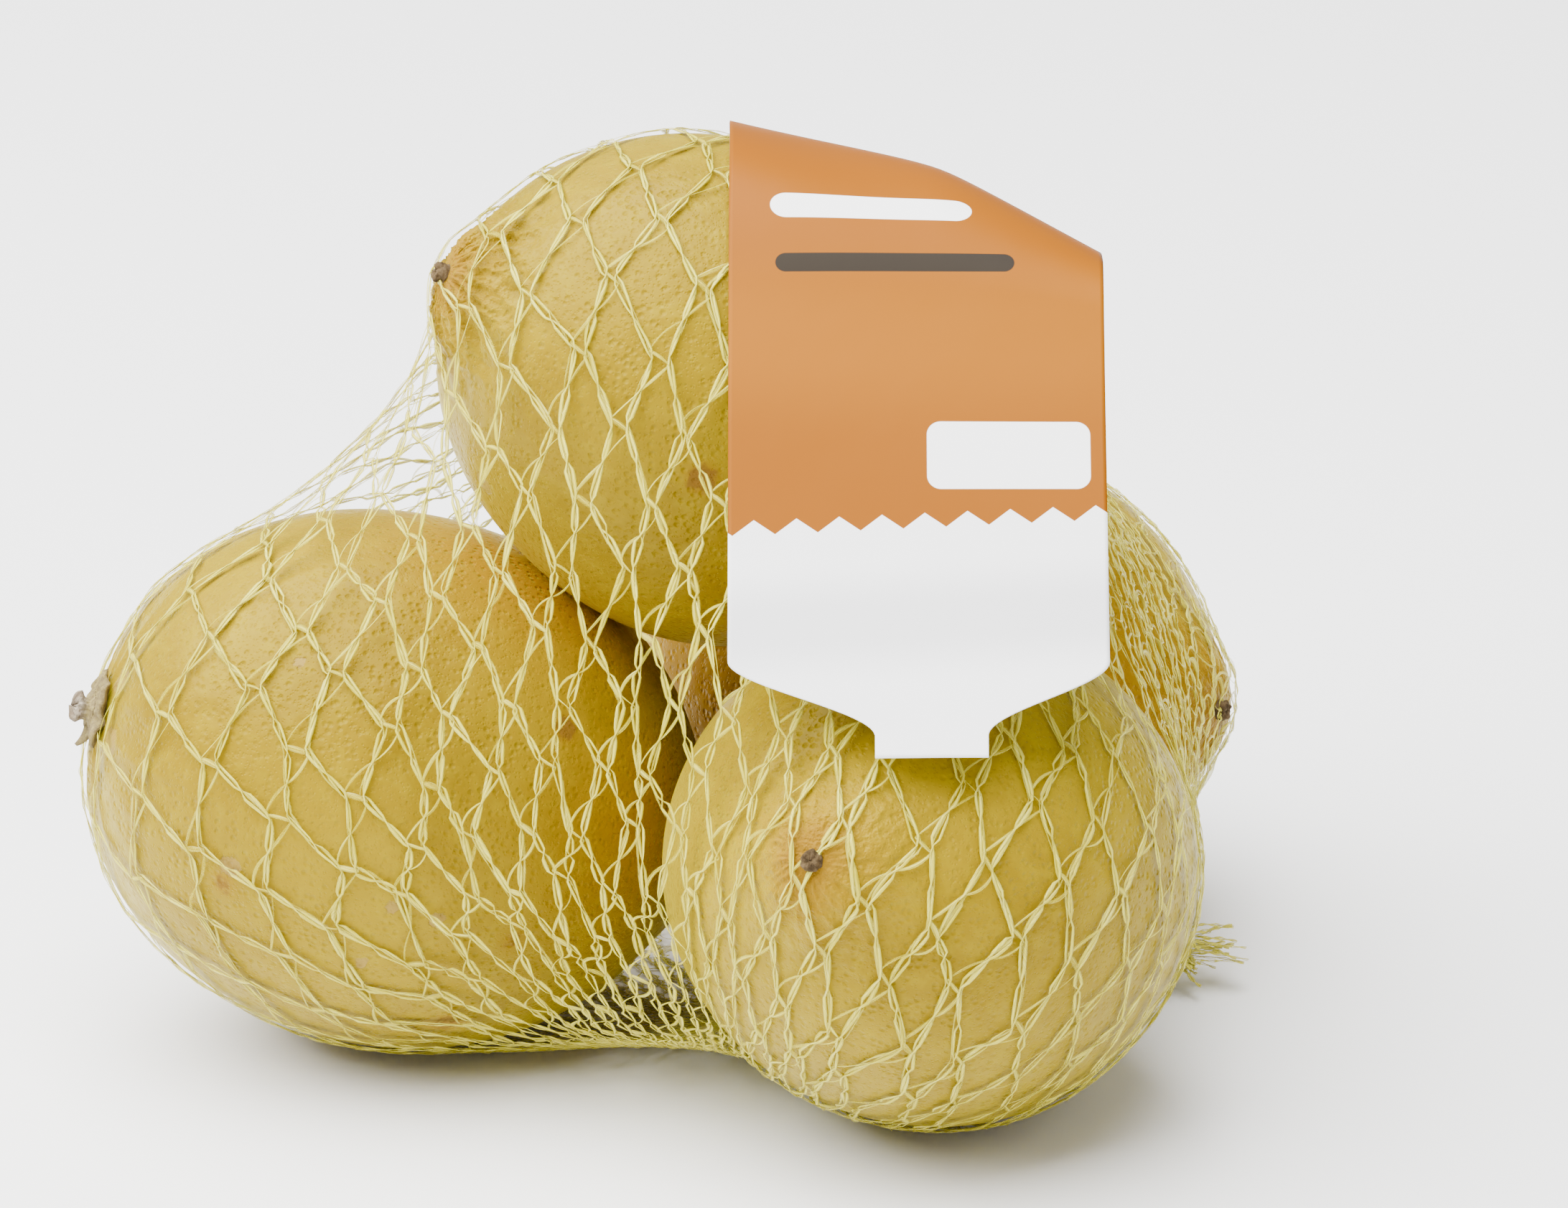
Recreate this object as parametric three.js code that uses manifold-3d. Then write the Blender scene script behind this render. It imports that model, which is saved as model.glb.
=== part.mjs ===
// A knitted net of four lemons with a saddle label, standing on three of the lemons.
// The tube of net is closed by a clip at each end: one behind the label, one low on the right.
// Millimetres, +Z up, front towards -Y, origin in the middle of the base.

import * as THREE from "three";
import { ConvexHull } from "three/addons/math/ConvexHull.js";
import { mergeVertices } from "three/addons/utils/BufferGeometryUtils.js";
import Module from "manifold-3d";

const wasm = await Module();
wasm.setup();

const RAD = Math.PI / 180;
const { lerp, smoothstep } = THREE.MathUtils;

// The four lemons. heading and tilt say where the blossom end points, in degrees: heading from +X
// towards +Y, tilt above the horizontal. radius is at the waist, half is from the middle to an end.
const LEMONS = {
  left: { middle: [-46.7, 0.6, 32.7], heading: 11.8, tilt: -18, radius: 31.8, half: 37.3 },
  front: { middle: [17.1, -24.4, 31.3], heading: -112.2, tilt: 21.7, radius: 30.1, half: 36.3 },
  back: { middle: [16.3, 42.2, 30.7], heading: -29, tilt: 3.7, radius: 30.3, half: 38.4 },
  top: { middle: [-7.8, 7.0, 79.4], heading: 198, tilt: 27.7, radius: 29.4, half: 33.9 },
};
const BLOSSOM_TIP = { height: 3.4, spread: 0.23 }; // a nipple, and the half angle that it fills, in radians
const STEM_TIP = { height: -1.0, spread: 0.35 }; // a shallow dent
const BASE_MIDDLE = [-14.39, 7.04, 0]; // the middle of the base, in the lemons' own coordinates

// The net: a tube of diamond meshes whose two ends are gathered.
const HEART = [4, 4, 46]; // a point between the lemons from which the whole net is seen
const NECK_LOW = [39.5, 10.5, 6]; // where the tube's ends are gathered
const NECK_TOP = [14, 36, 80];
const MESHES_ROUND = 30;
const ROWS = 27;
const CROWDING = 0.3; // how much closer the columns stand on the side away from the necks
const END_RADIUS = 2.0; // of the gathered tube
const ROWS_OF_NECK = 6; // rows over which the tube draws in
const STRAND = { wide: 1.7, proud: 0.6, widestShare: 0.36, proudestShare: 0.2 }; // shares are of a mesh
const NET_OVER_LEMON = 0.4;
const STIFFNESS = 0.15; // how the net bridges a gap, from 0 like a soap film to 1 straight across
const STRETCHING_ROUNDS = 300;

// The clips, and the loose end of the tube beyond each.
const CLIP = { bore: 2.4, wall: 1.1, wide: 3.4, bevel: 0.35, beyondNeck: 4.4 };
const TUFT = { length: 17, spread: 5.5, thick: 1.5, teeth: 4, shortest: 0.84, notch: 0.22, sunk: 4 };
const LOW_TAIL = [0.93, 0.36, -0.04]; // where each loose end points
const TOP_TAIL = [0.2, 0.97, 0.15];

// The stem button that stands through the net at the left end: a lobed cushion with a woody peg.
const BUTTON = { radius: 4.4, thick: 1.8, lobes: 5, lobeDepth: 0.32, clearance: 0.45 };
const PEG = { radius: 1.6, flare: 2.0, height: 3.2 };

// The label: a film saddle. Its front leans on the top lemon and the front one.
const LABEL = {
  thick: 0.5,
  middleX: 15.0,
  halfWidth: 21.3,
  tongueX: 16.4, // middle and half width of the tongue at the foot
  tongue: 6.3,
  shoulder: [2.6, 11.5], // where it starts and ends, from the foot of the tongue
  lean: 41.6, // degrees from upright
  foot: [-55.5, 57.0], // y, z of the tongue's end
  crest: [111.9, 107.6, 100.8], // height of the fold at the left edge, at its corner, at the right edge
  cornerAt: 0.58, // where along the width the fold line turns down, and how softly
  cornerSoft: 0.06,
  foldRadius: [31.8, 22, 9], // before the crest
  backRadius: [36, 36, 30], // after it
  backTurn: 37, // degrees past the crest at which the back becomes flat
  back: 4, // length of the flat back
  roundCorner: 5,
};

const COLOURS = { net: 0xe3cf3a, label: 0xee9c30, clip: 0xb9bcc0, button: 0x8f8350 };

const vec = (p) => new THREE.Vector3(...p);

// Unit vector along a lemon, towards its blossom end.
function lemonAxis({ heading, tilt }) {
  const flat = Math.cos(tilt * RAD);
  return vec([Math.cos(heading * RAD) * flat, Math.sin(heading * RAD) * flat, Math.sin(tilt * RAD)]);
}

// Distance from a lemon's middle to its skin, at an angle from its blossom end:
// an ellipse, with a bump at each end that dies away from the axis.
function skinDistance(lemon, angle) {
  const across = lemon.half * Math.sin(angle);
  const along = lemon.radius * Math.cos(angle);
  const body = (lemon.radius * lemon.half) / Math.hypot(across, along);
  const bump = (tip, away) => tip.height / (1 + (away / tip.spread) ** 4);
  return body + bump(BLOSSOM_TIP, angle) + bump(STEM_TIP, Math.PI - angle);
}

function isInLemon(lemon, point) {
  const away = point.sub(vec(lemon.middle));
  return away.length() < skinDistance(lemon, away.angleTo(lemonAxis(lemon)));
}

// Distance from the heart, along a ray, of the farthest skin of any lemon, or 0 where the ray misses all.
function farthestSkin(direction) {
  const heart = vec(HEART);
  const step = 1.5;
  let farthest = 0;
  for (const lemon of Object.values(LEMONS)) {
    const isIn = (t) => isInLemon(lemon, heart.clone().addScaledVector(direction, t));
    let outside = heart.distanceTo(vec(lemon.middle)) + lemon.half + BLOSSOM_TIP.height + step;
    let inside = outside - step;
    while (inside > 0 && !isIn(inside)) {
      outside = inside;
      inside -= step;
    }
    if (inside <= 0) continue;
    while (outside - inside > 0.001) {
      const middle = (inside + outside) / 2;
      if (isIn(middle)) inside = middle;
      else outside = middle;
    }
    farthest = Math.max(farthest, inside + NET_OVER_LEMON);
  }
  return farthest;
}

// A wrapping pulled straight over the lemons: returns its distance from the heart along a ray.
function straightWrapping() {
  const skin = [];
  const steps = 24;
  for (const lemon of Object.values(LEMONS)) {
    const axis = lemonAxis(lemon);
    const side = vec([0, 0, 1]).cross(axis).normalize();
    for (let i = 0; i <= steps; i++) {
      const angle = (Math.PI * i) / steps;
      const r = skinDistance(lemon, angle) + NET_OVER_LEMON;
      for (let k = 0; k < steps; k++) {
        const outwards = side.clone().applyAxisAngle(axis, (2 * Math.PI * k) / steps);
        skin.push(
          vec(lemon.middle)
            .addScaledVector(axis, r * Math.cos(angle))
            .addScaledVector(outwards, r * Math.sin(angle)),
        );
      }
    }
  }
  const hull = new ConvexHull().setFromPoints(skin);
  const heart = vec(HEART);
  return (direction) =>
    hull.intersectRay(new THREE.Ray(heart, direction), new THREE.Vector3()).distanceTo(heart);
}

// Directions of the net's grid of 2 x MESHES_ROUND columns and ROWS rows. A column is a circular arc on
// the unit sphere, from one neck to the other, through a point of the belt half way between them. Both
// necks lie on one side of the bag, so that the columns are short there and long on the other side.
function netDirections() {
  const low = vec(NECK_LOW).sub(vec(HEART));
  const top = vec(NECK_TOP).sub(vec(HEART));
  const endAngles = [END_RADIUS / low.length(), END_RADIUS / top.length()];
  low.normalize();
  top.normalize();
  const side = top.clone().add(low).normalize();
  const third = top.clone().cross(low).normalize();
  const columns = 2 * MESHES_ROUND;
  const grid = Array.from({ length: ROWS }, () => []);
  for (let k = 0; k < columns; k++) {
    const even = (2 * Math.PI * k) / columns;
    const turn = even + CROWDING * Math.sin(even);
    const belt = side.clone().multiplyScalar(Math.cos(turn)).addScaledVector(third, Math.sin(turn));
    const axis = belt.clone().sub(low).cross(top.clone().sub(low)).normalize();
    const centre = axis.clone().multiplyScalar(axis.dot(low));
    const arm = low.clone().sub(centre);
    const armAtBelt = belt.clone().sub(centre);
    const half = Math.atan2(arm.clone().cross(armAtBelt).dot(axis), arm.dot(armAtBelt));
    const sweep = 2 * (half > 0 ? half : half + 2 * Math.PI);
    const first = endAngles[0] / arm.length();
    const last = sweep - endAngles[1] / arm.length();
    grid.forEach((row, j) => {
      const angle = lerp(first, last, j / (ROWS - 1));
      row.push(arm.clone().applyAxisAngle(axis, angle).add(centre));
    });
  }
  return grid;
}

// Stretches the net over the lemons. Every grid point starts on a wrapping pulled straight. Along its ray
// it moves again and again to the middle of its neighbours, but stays between the lemons and the wrapping.
// Its last place is between there and the wrapping, and the tube draws in at the two necks.
function stretchNet(directions) {
  const heart = vec(HEART);
  const columns = 2 * MESHES_ROUND;
  const ground = (d) => (d.z < 0 ? HEART[2] / -d.z : Infinity);
  const wrapping = straightWrapping();
  const points = directions.map((row, j) =>
    row.map((d, k) => {
      const neighbours = [[0, 1], [0, -1], [1, 0], [-1, 0]]
        .filter(([dj]) => directions[j + dj])
        .map(([dj, dk]) => [j + dj, (k + dk + columns) % columns]);
      const pulls = neighbours.map(([nj, nk]) => 1 / d.distanceToSquared(directions[nj][nk]));
      const all = pulls.reduce((a, b) => a + b);
      const shares = neighbours.map(([nj, nk], i) => (pulls[i] / all) * d.dot(directions[nj][nk]));
      return { d, neighbours, shares, least: farthestSkin(d), straight: wrapping(d) };
    }),
  );
  const reach = points.map((row) => row.map((p) => p.straight));
  reach[0].fill(vec(NECK_LOW).distanceTo(heart));
  reach[ROWS - 1].fill(vec(NECK_TOP).distanceTo(heart));
  for (let round = 0; round < STRETCHING_ROUNDS; round++) {
    for (let j = 1; j < ROWS - 1; j++) {
      points[j].forEach(({ d, neighbours, shares, least, straight }, k) => {
        const middle = neighbours.reduce((sum, [nj, nk], i) => sum + shares[i] * reach[nj][nk], 0);
        reach[j][k] = Math.min(Math.max(middle, least), straight, ground(d));
      });
    }
  }
  return points.map((row, j) => {
    const fromEnd = Math.min(j, ROWS - 1 - j);
    const stiffness = STIFFNESS * smoothstep(fromEnd, 0, ROWS_OF_NECK);
    return row.map(({ d, least, straight }, k) => {
      const between = lerp(reach[j][k], straight, stiffness);
      const r = fromEnd ? Math.min(Math.max(between, least), ground(d)) : reach[j][k];
      return d.clone().multiplyScalar(r).add(heart);
    });
  });
}

function surface(points, triangles) {
  return new THREE.BufferGeometry()
    .setAttribute("position", new THREE.Float32BufferAttribute(points.flatMap((p) => p.toArray()), 3))
    .setIndex(triangles.flat());
}

function solidOf(geometry) {
  const bare = geometry.clone();
  bare.deleteAttribute("normal");
  bare.deleteAttribute("uv");
  const merged = mergeVertices(bare);
  return new wasm.Manifold(
    new wasm.Mesh({
      numProp: 3,
      vertProperties: merged.attributes.position.array,
      triVerts: new Uint32Array(merged.index.array),
    }),
  );
}

function geometryOf(solid) {
  const mesh = solid.getMesh();
  return new THREE.BufferGeometry()
    .setAttribute("position", new THREE.BufferAttribute(mesh.vertProperties, 3))
    .setIndex(new THREE.BufferAttribute(mesh.triVerts, 1));
}

// Turns a geometry's +Z to a direction and moves its origin to a point.
function stand(geometry, point, direction) {
  const turn = new THREE.Quaternion().setFromUnitVectors(vec([0, 0, 1]), direction);
  return geometry.applyQuaternion(turn).translate(...point.toArray());
}

// The bag's skin. Grid points with an even sum of row and column are knots, the others are middles of
// meshes. A mesh is a flat panel in a frame of four strands, whose crests run from knot to knot.
function bagGeometry(grid) {
  const heart = vec(HEART);
  const columns = 2 * MESHES_ROUND;
  const column = (k) => (k + columns) % columns;
  const width = (j, k) => grid[j][column(k + 1)].distanceTo(grid[j][column(k - 1)]);
  const points = [];
  const triangles = [];
  const add = (p) => points.push(p) - 1;
  const knots = grid.map((row, j) =>
    row.map((p, k) => {
      if ((j + k) % 2) return null;
      const isEnd = j === 0 || j === ROWS - 1;
      const proud = isEnd ? 0 : Math.min(STRAND.proud, STRAND.proudestShare * width(j, k));
      const crest = p.clone().addScaledVector(p.clone().sub(heart).normalize(), proud);
      crest.z = Math.max(crest.z, 0);
      return add(crest);
    }),
  );
  for (let j = 0; j < ROWS; j++) {
    for (let k = (j + 1) % 2; k < columns; k += 2) {
      const round = [[0, 1], [1, 0], [0, -1], [-1, 0]]
        .filter(([dj]) => grid[j + dj])
        .map(([dj, dk]) => [j + dj, column(k + dk)]);
      const crests = round.map(([cj, ck]) => knots[cj][ck]);
      if (crests.length < 4) {
        triangles.push(crests);
        continue;
      }
      const inset = Math.min(STRAND.widestShare, STRAND.wide / width(j, k));
      const inner = round.map(([cj, ck]) => add(grid[cj][ck].clone().lerp(grid[j][k], inset)));
      const middle = add(grid[j][k]);
      for (let i = 0; i < 4; i++) {
        const next = (i + 1) % 4;
        triangles.push([crests[i], crests[next], inner[next]]);
        triangles.push([crests[i], inner[next], inner[i]]);
        triangles.push([inner[i], inner[next], middle]);
      }
    }
  }
  const lowEnd = add(vec(NECK_LOW));
  const topEnd = add(vec(NECK_TOP));
  for (let k = 0; k < columns; k += 2) {
    const next = column(k + 2);
    triangles.push([knots[0][next], knots[0][k], lowEnd]);
    triangles.push([knots[ROWS - 1][k], knots[ROWS - 1][next], topEnd]);
  }
  return surface(points, triangles);
}

// The tube's loose end: a round shank through the clip that fans out flat into ragged teeth.
function tuftSolid(point, direction) {
  const start = CLIP.beyondNeck + CLIP.wide;
  const radius = END_RADIUS - 0.1;
  const shank = new THREE.CylinderGeometry(radius, radius, start + TUFT.sunk, 12)
    .rotateX(Math.PI / 2)
    .translate(0, 0, (start - TUFT.sunk) / 2);
  const outline = new THREE.Shape();
  outline.moveTo(-radius * 0.9, 0);
  outline.lineTo(-radius * 0.9, start);
  outline.lineTo(-TUFT.spread, TUFT.length * (TUFT.shortest - TUFT.notch));
  const tooth = (2 * TUFT.spread) / TUFT.teeth;
  for (let i = 0; i < TUFT.teeth; i++) {
    const left = i * tooth - TUFT.spread;
    const tip = lerp(TUFT.shortest, 1, Math.abs(Math.sin(2.3 * i + 1)));
    outline.lineTo(left + tooth / 2, TUFT.length * tip);
    outline.lineTo(left + tooth, TUFT.length * (tip - TUFT.notch));
  }
  outline.lineTo(radius * 0.9, start);
  outline.lineTo(radius * 0.9, 0);
  const fan = new THREE.ExtrudeGeometry(outline, { depth: TUFT.thick, bevelEnabled: false })
    .translate(0, 0, -TUFT.thick / 2)
    .rotateX(Math.PI / 2);
  return solidOf(stand(shank, point, direction)).add(solidOf(stand(fan, point, direction)));
}

function clipGeometry(point, direction) {
  const { bore, wall, wide, bevel, beyondNeck } = CLIP;
  const outer = bore + wall;
  const ring = [
    [bore, 0],
    [outer - bevel, 0],
    [outer, bevel],
    [outer, wide - bevel],
    [outer - bevel, wide],
    [bore, wide],
    [bore, 0],
  ].map(([r, h]) => new THREE.Vector2(r, h + beyondNeck));
  return stand(new THREE.LatheGeometry(ring, 20).rotateX(Math.PI / 2), point, direction);
}

function buttonSolid(point, direction) {
  const outline = new THREE.Shape();
  const corners = 6 * BUTTON.lobes;
  for (let i = 0; i < corners; i++) {
    const turn = (2 * Math.PI * i) / corners;
    const dip = (BUTTON.lobeDepth / 2) * (1 - Math.cos(BUTTON.lobes * turn));
    const r = BUTTON.radius * (1 - dip);
    outline[i ? "lineTo" : "moveTo"](r * Math.cos(turn), r * Math.sin(turn));
  }
  const edge = BUTTON.thick / 4;
  const cushion = new THREE.ExtrudeGeometry(outline, {
    depth: BUTTON.thick - 2 * edge,
    bevelThickness: edge,
    bevelSize: edge,
    bevelOffset: -edge,
    bevelSegments: 1,
  }).translate(0, 0, edge);
  const foot = BUTTON.thick / 2;
  const top = foot + PEG.height;
  const peg = new THREE.LatheGeometry(
    [
      [0, foot],
      [PEG.flare, foot],
      [PEG.radius, lerp(foot, top, 0.5)],
      [PEG.radius, lerp(foot, top, 0.9)],
      [PEG.radius * 0.8, top],
      [0, top],
    ].map(([r, h]) => new THREE.Vector2(r, h)),
    12,
  ).rotateX(Math.PI / 2);
  return solidOf(stand(cushion, point, direction)).add(solidOf(stand(peg, point, direction)));
}

// The hole through the net round the stem button, as deep as the lemon's skin.
function buttonPocket(point, direction) {
  const radius = BUTTON.radius + BUTTON.clearance;
  const depth = 12;
  const hole = new THREE.CylinderGeometry(radius, radius, depth, 24)
    .rotateX(Math.PI / 2)
    .translate(0, 0, depth / 2 - BUTTON.clearance);
  return solidOf(stand(hole, point, direction));
}

// Half the label's width at a distance along the film from the foot of its tongue:
// the tongue, an S-shaped shoulder, the full width, then the rounded corners of the back.
function labelHalfWidth(along, total) {
  const wide = lerp(LABEL.tongue, LABEL.halfWidth, smoothstep(along, ...LABEL.shoulder));
  const intoCorner = Math.max(0, LABEL.roundCorner - (total - along));
  return wide - LABEL.roundCorner + Math.sqrt(LABEL.roundCorner ** 2 - intoCorner ** 2);
}

// A value at u across the label, from its values at the left edge, at the fold's corner and at the
// right edge: two straight slopes with a soft change between them.
function acrossLabel([left, corner, right], u) {
  const t = (u + 1) / 2;
  const slopes = [(corner - left) / LABEL.cornerAt, (right - corner) / (1 - LABEL.cornerAt)];
  const past = t - LABEL.cornerAt;
  const softPast = (past + Math.hypot(past, LABEL.cornerSoft)) / 2;
  return left + slopes[0] * t + (slopes[1] - slopes[0]) * softPast;
}

// A point of the label's middle surface. u runs from -1 to 1 across it, s from 0 to 1 along the film:
// up the leaning front, over the fold in two arcs, and down the back.
function labelPoint(u, s) {
  const lean = LABEL.lean * RAD;
  const foldRadius = acrossLabel(LABEL.foldRadius, u);
  const backRadius = acrossLabel(LABEL.backRadius, u);
  const rise = acrossLabel(LABEL.crest, u) - foldRadius * (1 - Math.sin(lean)) - LABEL.foot[1];
  const stretches = [
    { length: rise / Math.cos(lean), bend: 0 },
    { length: foldRadius * (Math.PI / 2 - lean), bend: 1 / foldRadius },
    { length: backRadius * LABEL.backTurn * RAD, bend: 1 / backRadius },
    { length: LABEL.back, bend: 0 },
  ];
  const total = stretches.reduce((sum, { length }) => sum + length, 0);
  let [y, z] = LABEL.foot;
  let heading = lean;
  let left = s * total;
  for (const { length, bend } of stretches) {
    const step = Math.min(left, length);
    const turn = step * bend;
    const chord = turn ? (2 / bend) * Math.sin(turn / 2) : step;
    y += chord * Math.sin(heading + turn / 2);
    z += chord * Math.cos(heading + turn / 2);
    heading += turn;
    left -= step;
  }
  const along = s * total;
  const middle = lerp(LABEL.tongueX, LABEL.middleX, smoothstep(along, ...LABEL.shoulder));
  return vec([middle + u * labelHalfWidth(along, total), y, z]);
}

// The label as a film: two faces on a grid across and along it, and an edge all round.
function labelGeometry() {
  const across = 10;
  const lowShare = 0.14; // the tongue and the shoulders, which have finer steps
  const lowSteps = 9;
  const otherSteps = 24;
  const last = lowSteps + otherSteps;
  const share = (i) =>
    i < lowSteps ? (lowShare * i) / lowSteps : lerp(lowShare, 1, (i - lowSteps) / otherSteps);
  const points = [];
  const triangles = [];
  const delta = 1e-3;
  for (const side of [-1, 1]) {
    for (let i = 0; i <= last; i++) {
      for (let j = 0; j <= across; j++) {
        const s = share(i);
        const u = (2 * j) / across - 1;
        const upwards = labelPoint(u, Math.min(1, s + delta)).sub(labelPoint(u, Math.max(0, s - delta)));
        const rightwards = labelPoint(u + delta, s).sub(labelPoint(u - delta, s));
        const outwards = rightwards.cross(upwards).normalize();
        points.push(labelPoint(u, s).addScaledVector(outwards, (side * LABEL.thick) / 2));
      }
    }
  }
  const inside = (i, j) => i * (across + 1) + j;
  const outside = (i, j) => inside(i, j) + (last + 1) * (across + 1);
  const quad = (a, b, c, d) => triangles.push([a, b, c], [a, c, d]);
  for (let i = 0; i < last; i++) {
    for (let j = 0; j < across; j++) {
      quad(outside(i, j), outside(i, j + 1), outside(i + 1, j + 1), outside(i + 1, j));
      quad(inside(i, j), inside(i + 1, j), inside(i + 1, j + 1), inside(i, j + 1));
    }
    quad(inside(i, 0), outside(i, 0), outside(i + 1, 0), inside(i + 1, 0));
    quad(outside(i, across), inside(i, across), inside(i + 1, across), outside(i + 1, across));
  }
  for (let j = 0; j < across; j++) {
    quad(inside(0, j), inside(0, j + 1), outside(0, j + 1), outside(0, j));
    quad(outside(last, j), outside(last, j + 1), inside(last, j + 1), inside(last, j));
  }
  return surface(points, triangles);
}

function meshOf(name, geometry, colour, roughness, metalness = 0) {
  const material = new THREE.MeshStandardMaterial({ color: colour, roughness, metalness });
  const mesh = new THREE.Mesh(geometry, material);
  mesh.name = name;
  return mesh;
}

const neckLow = vec(NECK_LOW);
const neckTop = vec(NECK_TOP);
const lowTail = vec(LOW_TAIL).normalize();
const topTail = vec(TOP_TAIL).normalize();
const stemWards = lemonAxis(LEMONS.left).negate();
const stemEnd = vec(LEMONS.left.middle).addScaledVector(stemWards, LEMONS.left.half + STEM_TIP.height);

const bag = solidOf(bagGeometry(stretchNet(netDirections())))
  .add(tuftSolid(neckTop, topTail))
  .add(tuftSolid(neckLow, lowTail))
  .subtract(buttonPocket(stemEnd, stemWards));

const netOfLemons = new THREE.Group();
netOfLemons.name = "net_of_lemons";
netOfLemons.add(
  meshOf("filled_net", geometryOf(bag), COLOURS.net, 0.5),
  meshOf("label", labelGeometry(), COLOURS.label, 0.45),
  meshOf("top_clip", clipGeometry(neckTop, topTail), COLOURS.clip, 0.35, 1),
  meshOf("low_clip", clipGeometry(neckLow, lowTail), COLOURS.clip, 0.35, 1),
  meshOf("stem_button", geometryOf(buttonSolid(stemEnd, stemWards)), COLOURS.button, 0.85),
);
netOfLemons.position.copy(vec(BASE_MIDDLE)).negate();

export default netOfLemons;
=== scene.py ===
"""Four lemons in a knitted net with a film label, two clips, and a plain studio stage.

The working arrays hold millimetres in the row frame: +X to the right, +Z up, the front towards -Y.
"""

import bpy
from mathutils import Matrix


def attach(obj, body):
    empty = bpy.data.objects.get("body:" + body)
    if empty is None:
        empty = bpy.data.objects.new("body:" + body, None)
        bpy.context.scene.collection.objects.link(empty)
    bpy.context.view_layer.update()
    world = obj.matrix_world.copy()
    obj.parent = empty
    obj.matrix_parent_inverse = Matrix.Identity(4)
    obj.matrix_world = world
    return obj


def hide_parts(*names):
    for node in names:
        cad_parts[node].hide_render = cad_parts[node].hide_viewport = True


bl_info = {
    "name": "Net of lemons",
    "version": (1, 0, 0),
    "blender": (4, 5, 0),
    "location": "View3D > Sidebar > Lemons",
    "description": "Builds lemons in a knitted net with a film label, clips and a studio stage",
    "category": "Object",
}

import bpy
import numpy as np
from mathutils import Vector

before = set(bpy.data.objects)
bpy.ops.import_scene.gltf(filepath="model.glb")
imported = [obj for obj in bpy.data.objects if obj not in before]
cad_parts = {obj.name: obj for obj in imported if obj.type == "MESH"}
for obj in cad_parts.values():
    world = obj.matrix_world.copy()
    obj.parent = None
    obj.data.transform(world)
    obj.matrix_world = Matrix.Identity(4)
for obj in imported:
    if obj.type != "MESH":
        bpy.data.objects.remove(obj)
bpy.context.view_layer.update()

MM = 0.001
BASE = np.array([14.39, -7.04, 0.0])  # from the lemons' own coordinates to the row frame
TINY = 1e-9  # keeps a division by a length of zero harmless
FAR = 1e9  # farther than anything in the scene
GOLDEN_TURN = np.pi * (1 + 5**0.5)  # spreads points evenly over a sphere
GOLDEN_ANGLE = 2.39996  # spreads points evenly over a disc


# Small geometry


def vec(*values):
    """The given numbers as an array."""
    return np.array(values, float)


def unit(v):
    """Vectors scaled to length 1 along the last axis."""
    v = np.asarray(v, float)
    least = 1e-12  # keeps a vector of length zero at zero
    return v / (np.linalg.norm(v, axis=-1, keepdims=True) + least)


def smooth(value, low, high):
    """Smoothstep: 0 up to low, 1 from high on, 3t^2 - 2t^3 between."""
    t = np.clip((np.asarray(value, float) - low) / (high - low), 0, 1)
    return t * t * (3 - 2 * t)


def mixed(a, b, t):
    """The value a share t of the way from a to b."""
    return a + (b - a) * t


def even_directions(count):
    """Unit vectors spread evenly over a sphere: heights in equal steps, turned by the golden angle."""
    i = np.arange(count) + 0.5
    z = 1 - 2 * i / count
    turn = GOLDEN_TURN * i
    flat = np.sqrt(1 - z * z)
    return np.stack([flat * np.cos(turn), flat * np.sin(turn), z], -1)


def make_piece(name, points, triangles, material, values=None, replaced=()):
    """A mesh object at the origin that rides on the root body. Points are in millimetres, and values are
    named numbers for each point. The triangles are turned round if their signed volume is negative."""
    points = np.asarray(points, float).reshape(-1, 3)
    triangles = np.asarray(triangles, np.int64).reshape(-1, 3)
    middle = points.mean(0)
    a, b, c = (points[triangles[:, i]] - middle for i in range(3))
    if np.einsum("ij,ij->", a, np.cross(b, c)) < 0:
        triangles = triangles[:, ::-1]
    mesh = bpy.data.meshes.new(name)
    mesh.vertices.add(len(points))
    mesh.vertices.foreach_set("co", (points * MM).astype(np.float32).ravel())
    mesh.loops.add(triangles.size)
    mesh.loops.foreach_set("vertex_index", triangles.astype(np.int32).ravel())
    mesh.polygons.add(len(triangles))
    mesh.polygons.foreach_set("loop_start", np.arange(0, triangles.size, 3, dtype=np.int32))
    mesh.update(calc_edges=True)
    mesh.polygons.foreach_set("use_smooth", np.ones(len(triangles), bool))
    for key, numbers in (values or {}).items():
        layer = mesh.attributes.new(key, "FLOAT", "POINT")
        layer.data.foreach_set("value", np.asarray(numbers, np.float32).ravel())
    mesh.materials.append(material)
    piece = bpy.data.objects.new(name, mesh)
    bpy.context.scene.collection.objects.link(piece)
    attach(piece, "root")
    if replaced:
        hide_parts(*replaced)
    return piece


def closed_of_rings(rings):
    """Triangles of a closed surface over rings of points (rows, columns, 3): the columns close on
    themselves, and each end is closed by a fan round the mean of its ring, which is added at the end."""
    rows, columns = rings.shape[:2]
    index = np.arange(rows * columns).reshape(rows, columns)
    sides = tube_triangles(index)
    first, last = rows * columns, rows * columns + 1
    start, end = index[0], index[-1]
    fans = [
        np.stack([np.full(columns, first), np.roll(start, -1), start], -1),
        np.stack([np.full(columns, last), end, np.roll(end, -1)], -1),
    ]
    points = np.concatenate([rings.reshape(-1, 3), [rings[0].mean(0)], [rings[-1].mean(0)]])
    return points, np.concatenate([sides, *fans])


def with_ends(numbers):
    """Numbers for the points of closed_of_rings: those of the rings, then the means of its two ends."""
    return np.concatenate([numbers.ravel(), [numbers[0].mean(), numbers[-1].mean()]])


def tube_triangles(index):
    """Triangles between neighbouring rings of point numbers (rings, columns), closed round each ring."""
    a, b = index[:-1], index[1:]
    a2, b2 = np.roll(a, -1, 1), np.roll(b, -1, 1)
    return np.stack([a, a2, b2, a, b2, b], -1).reshape(-1, 3)


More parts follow.
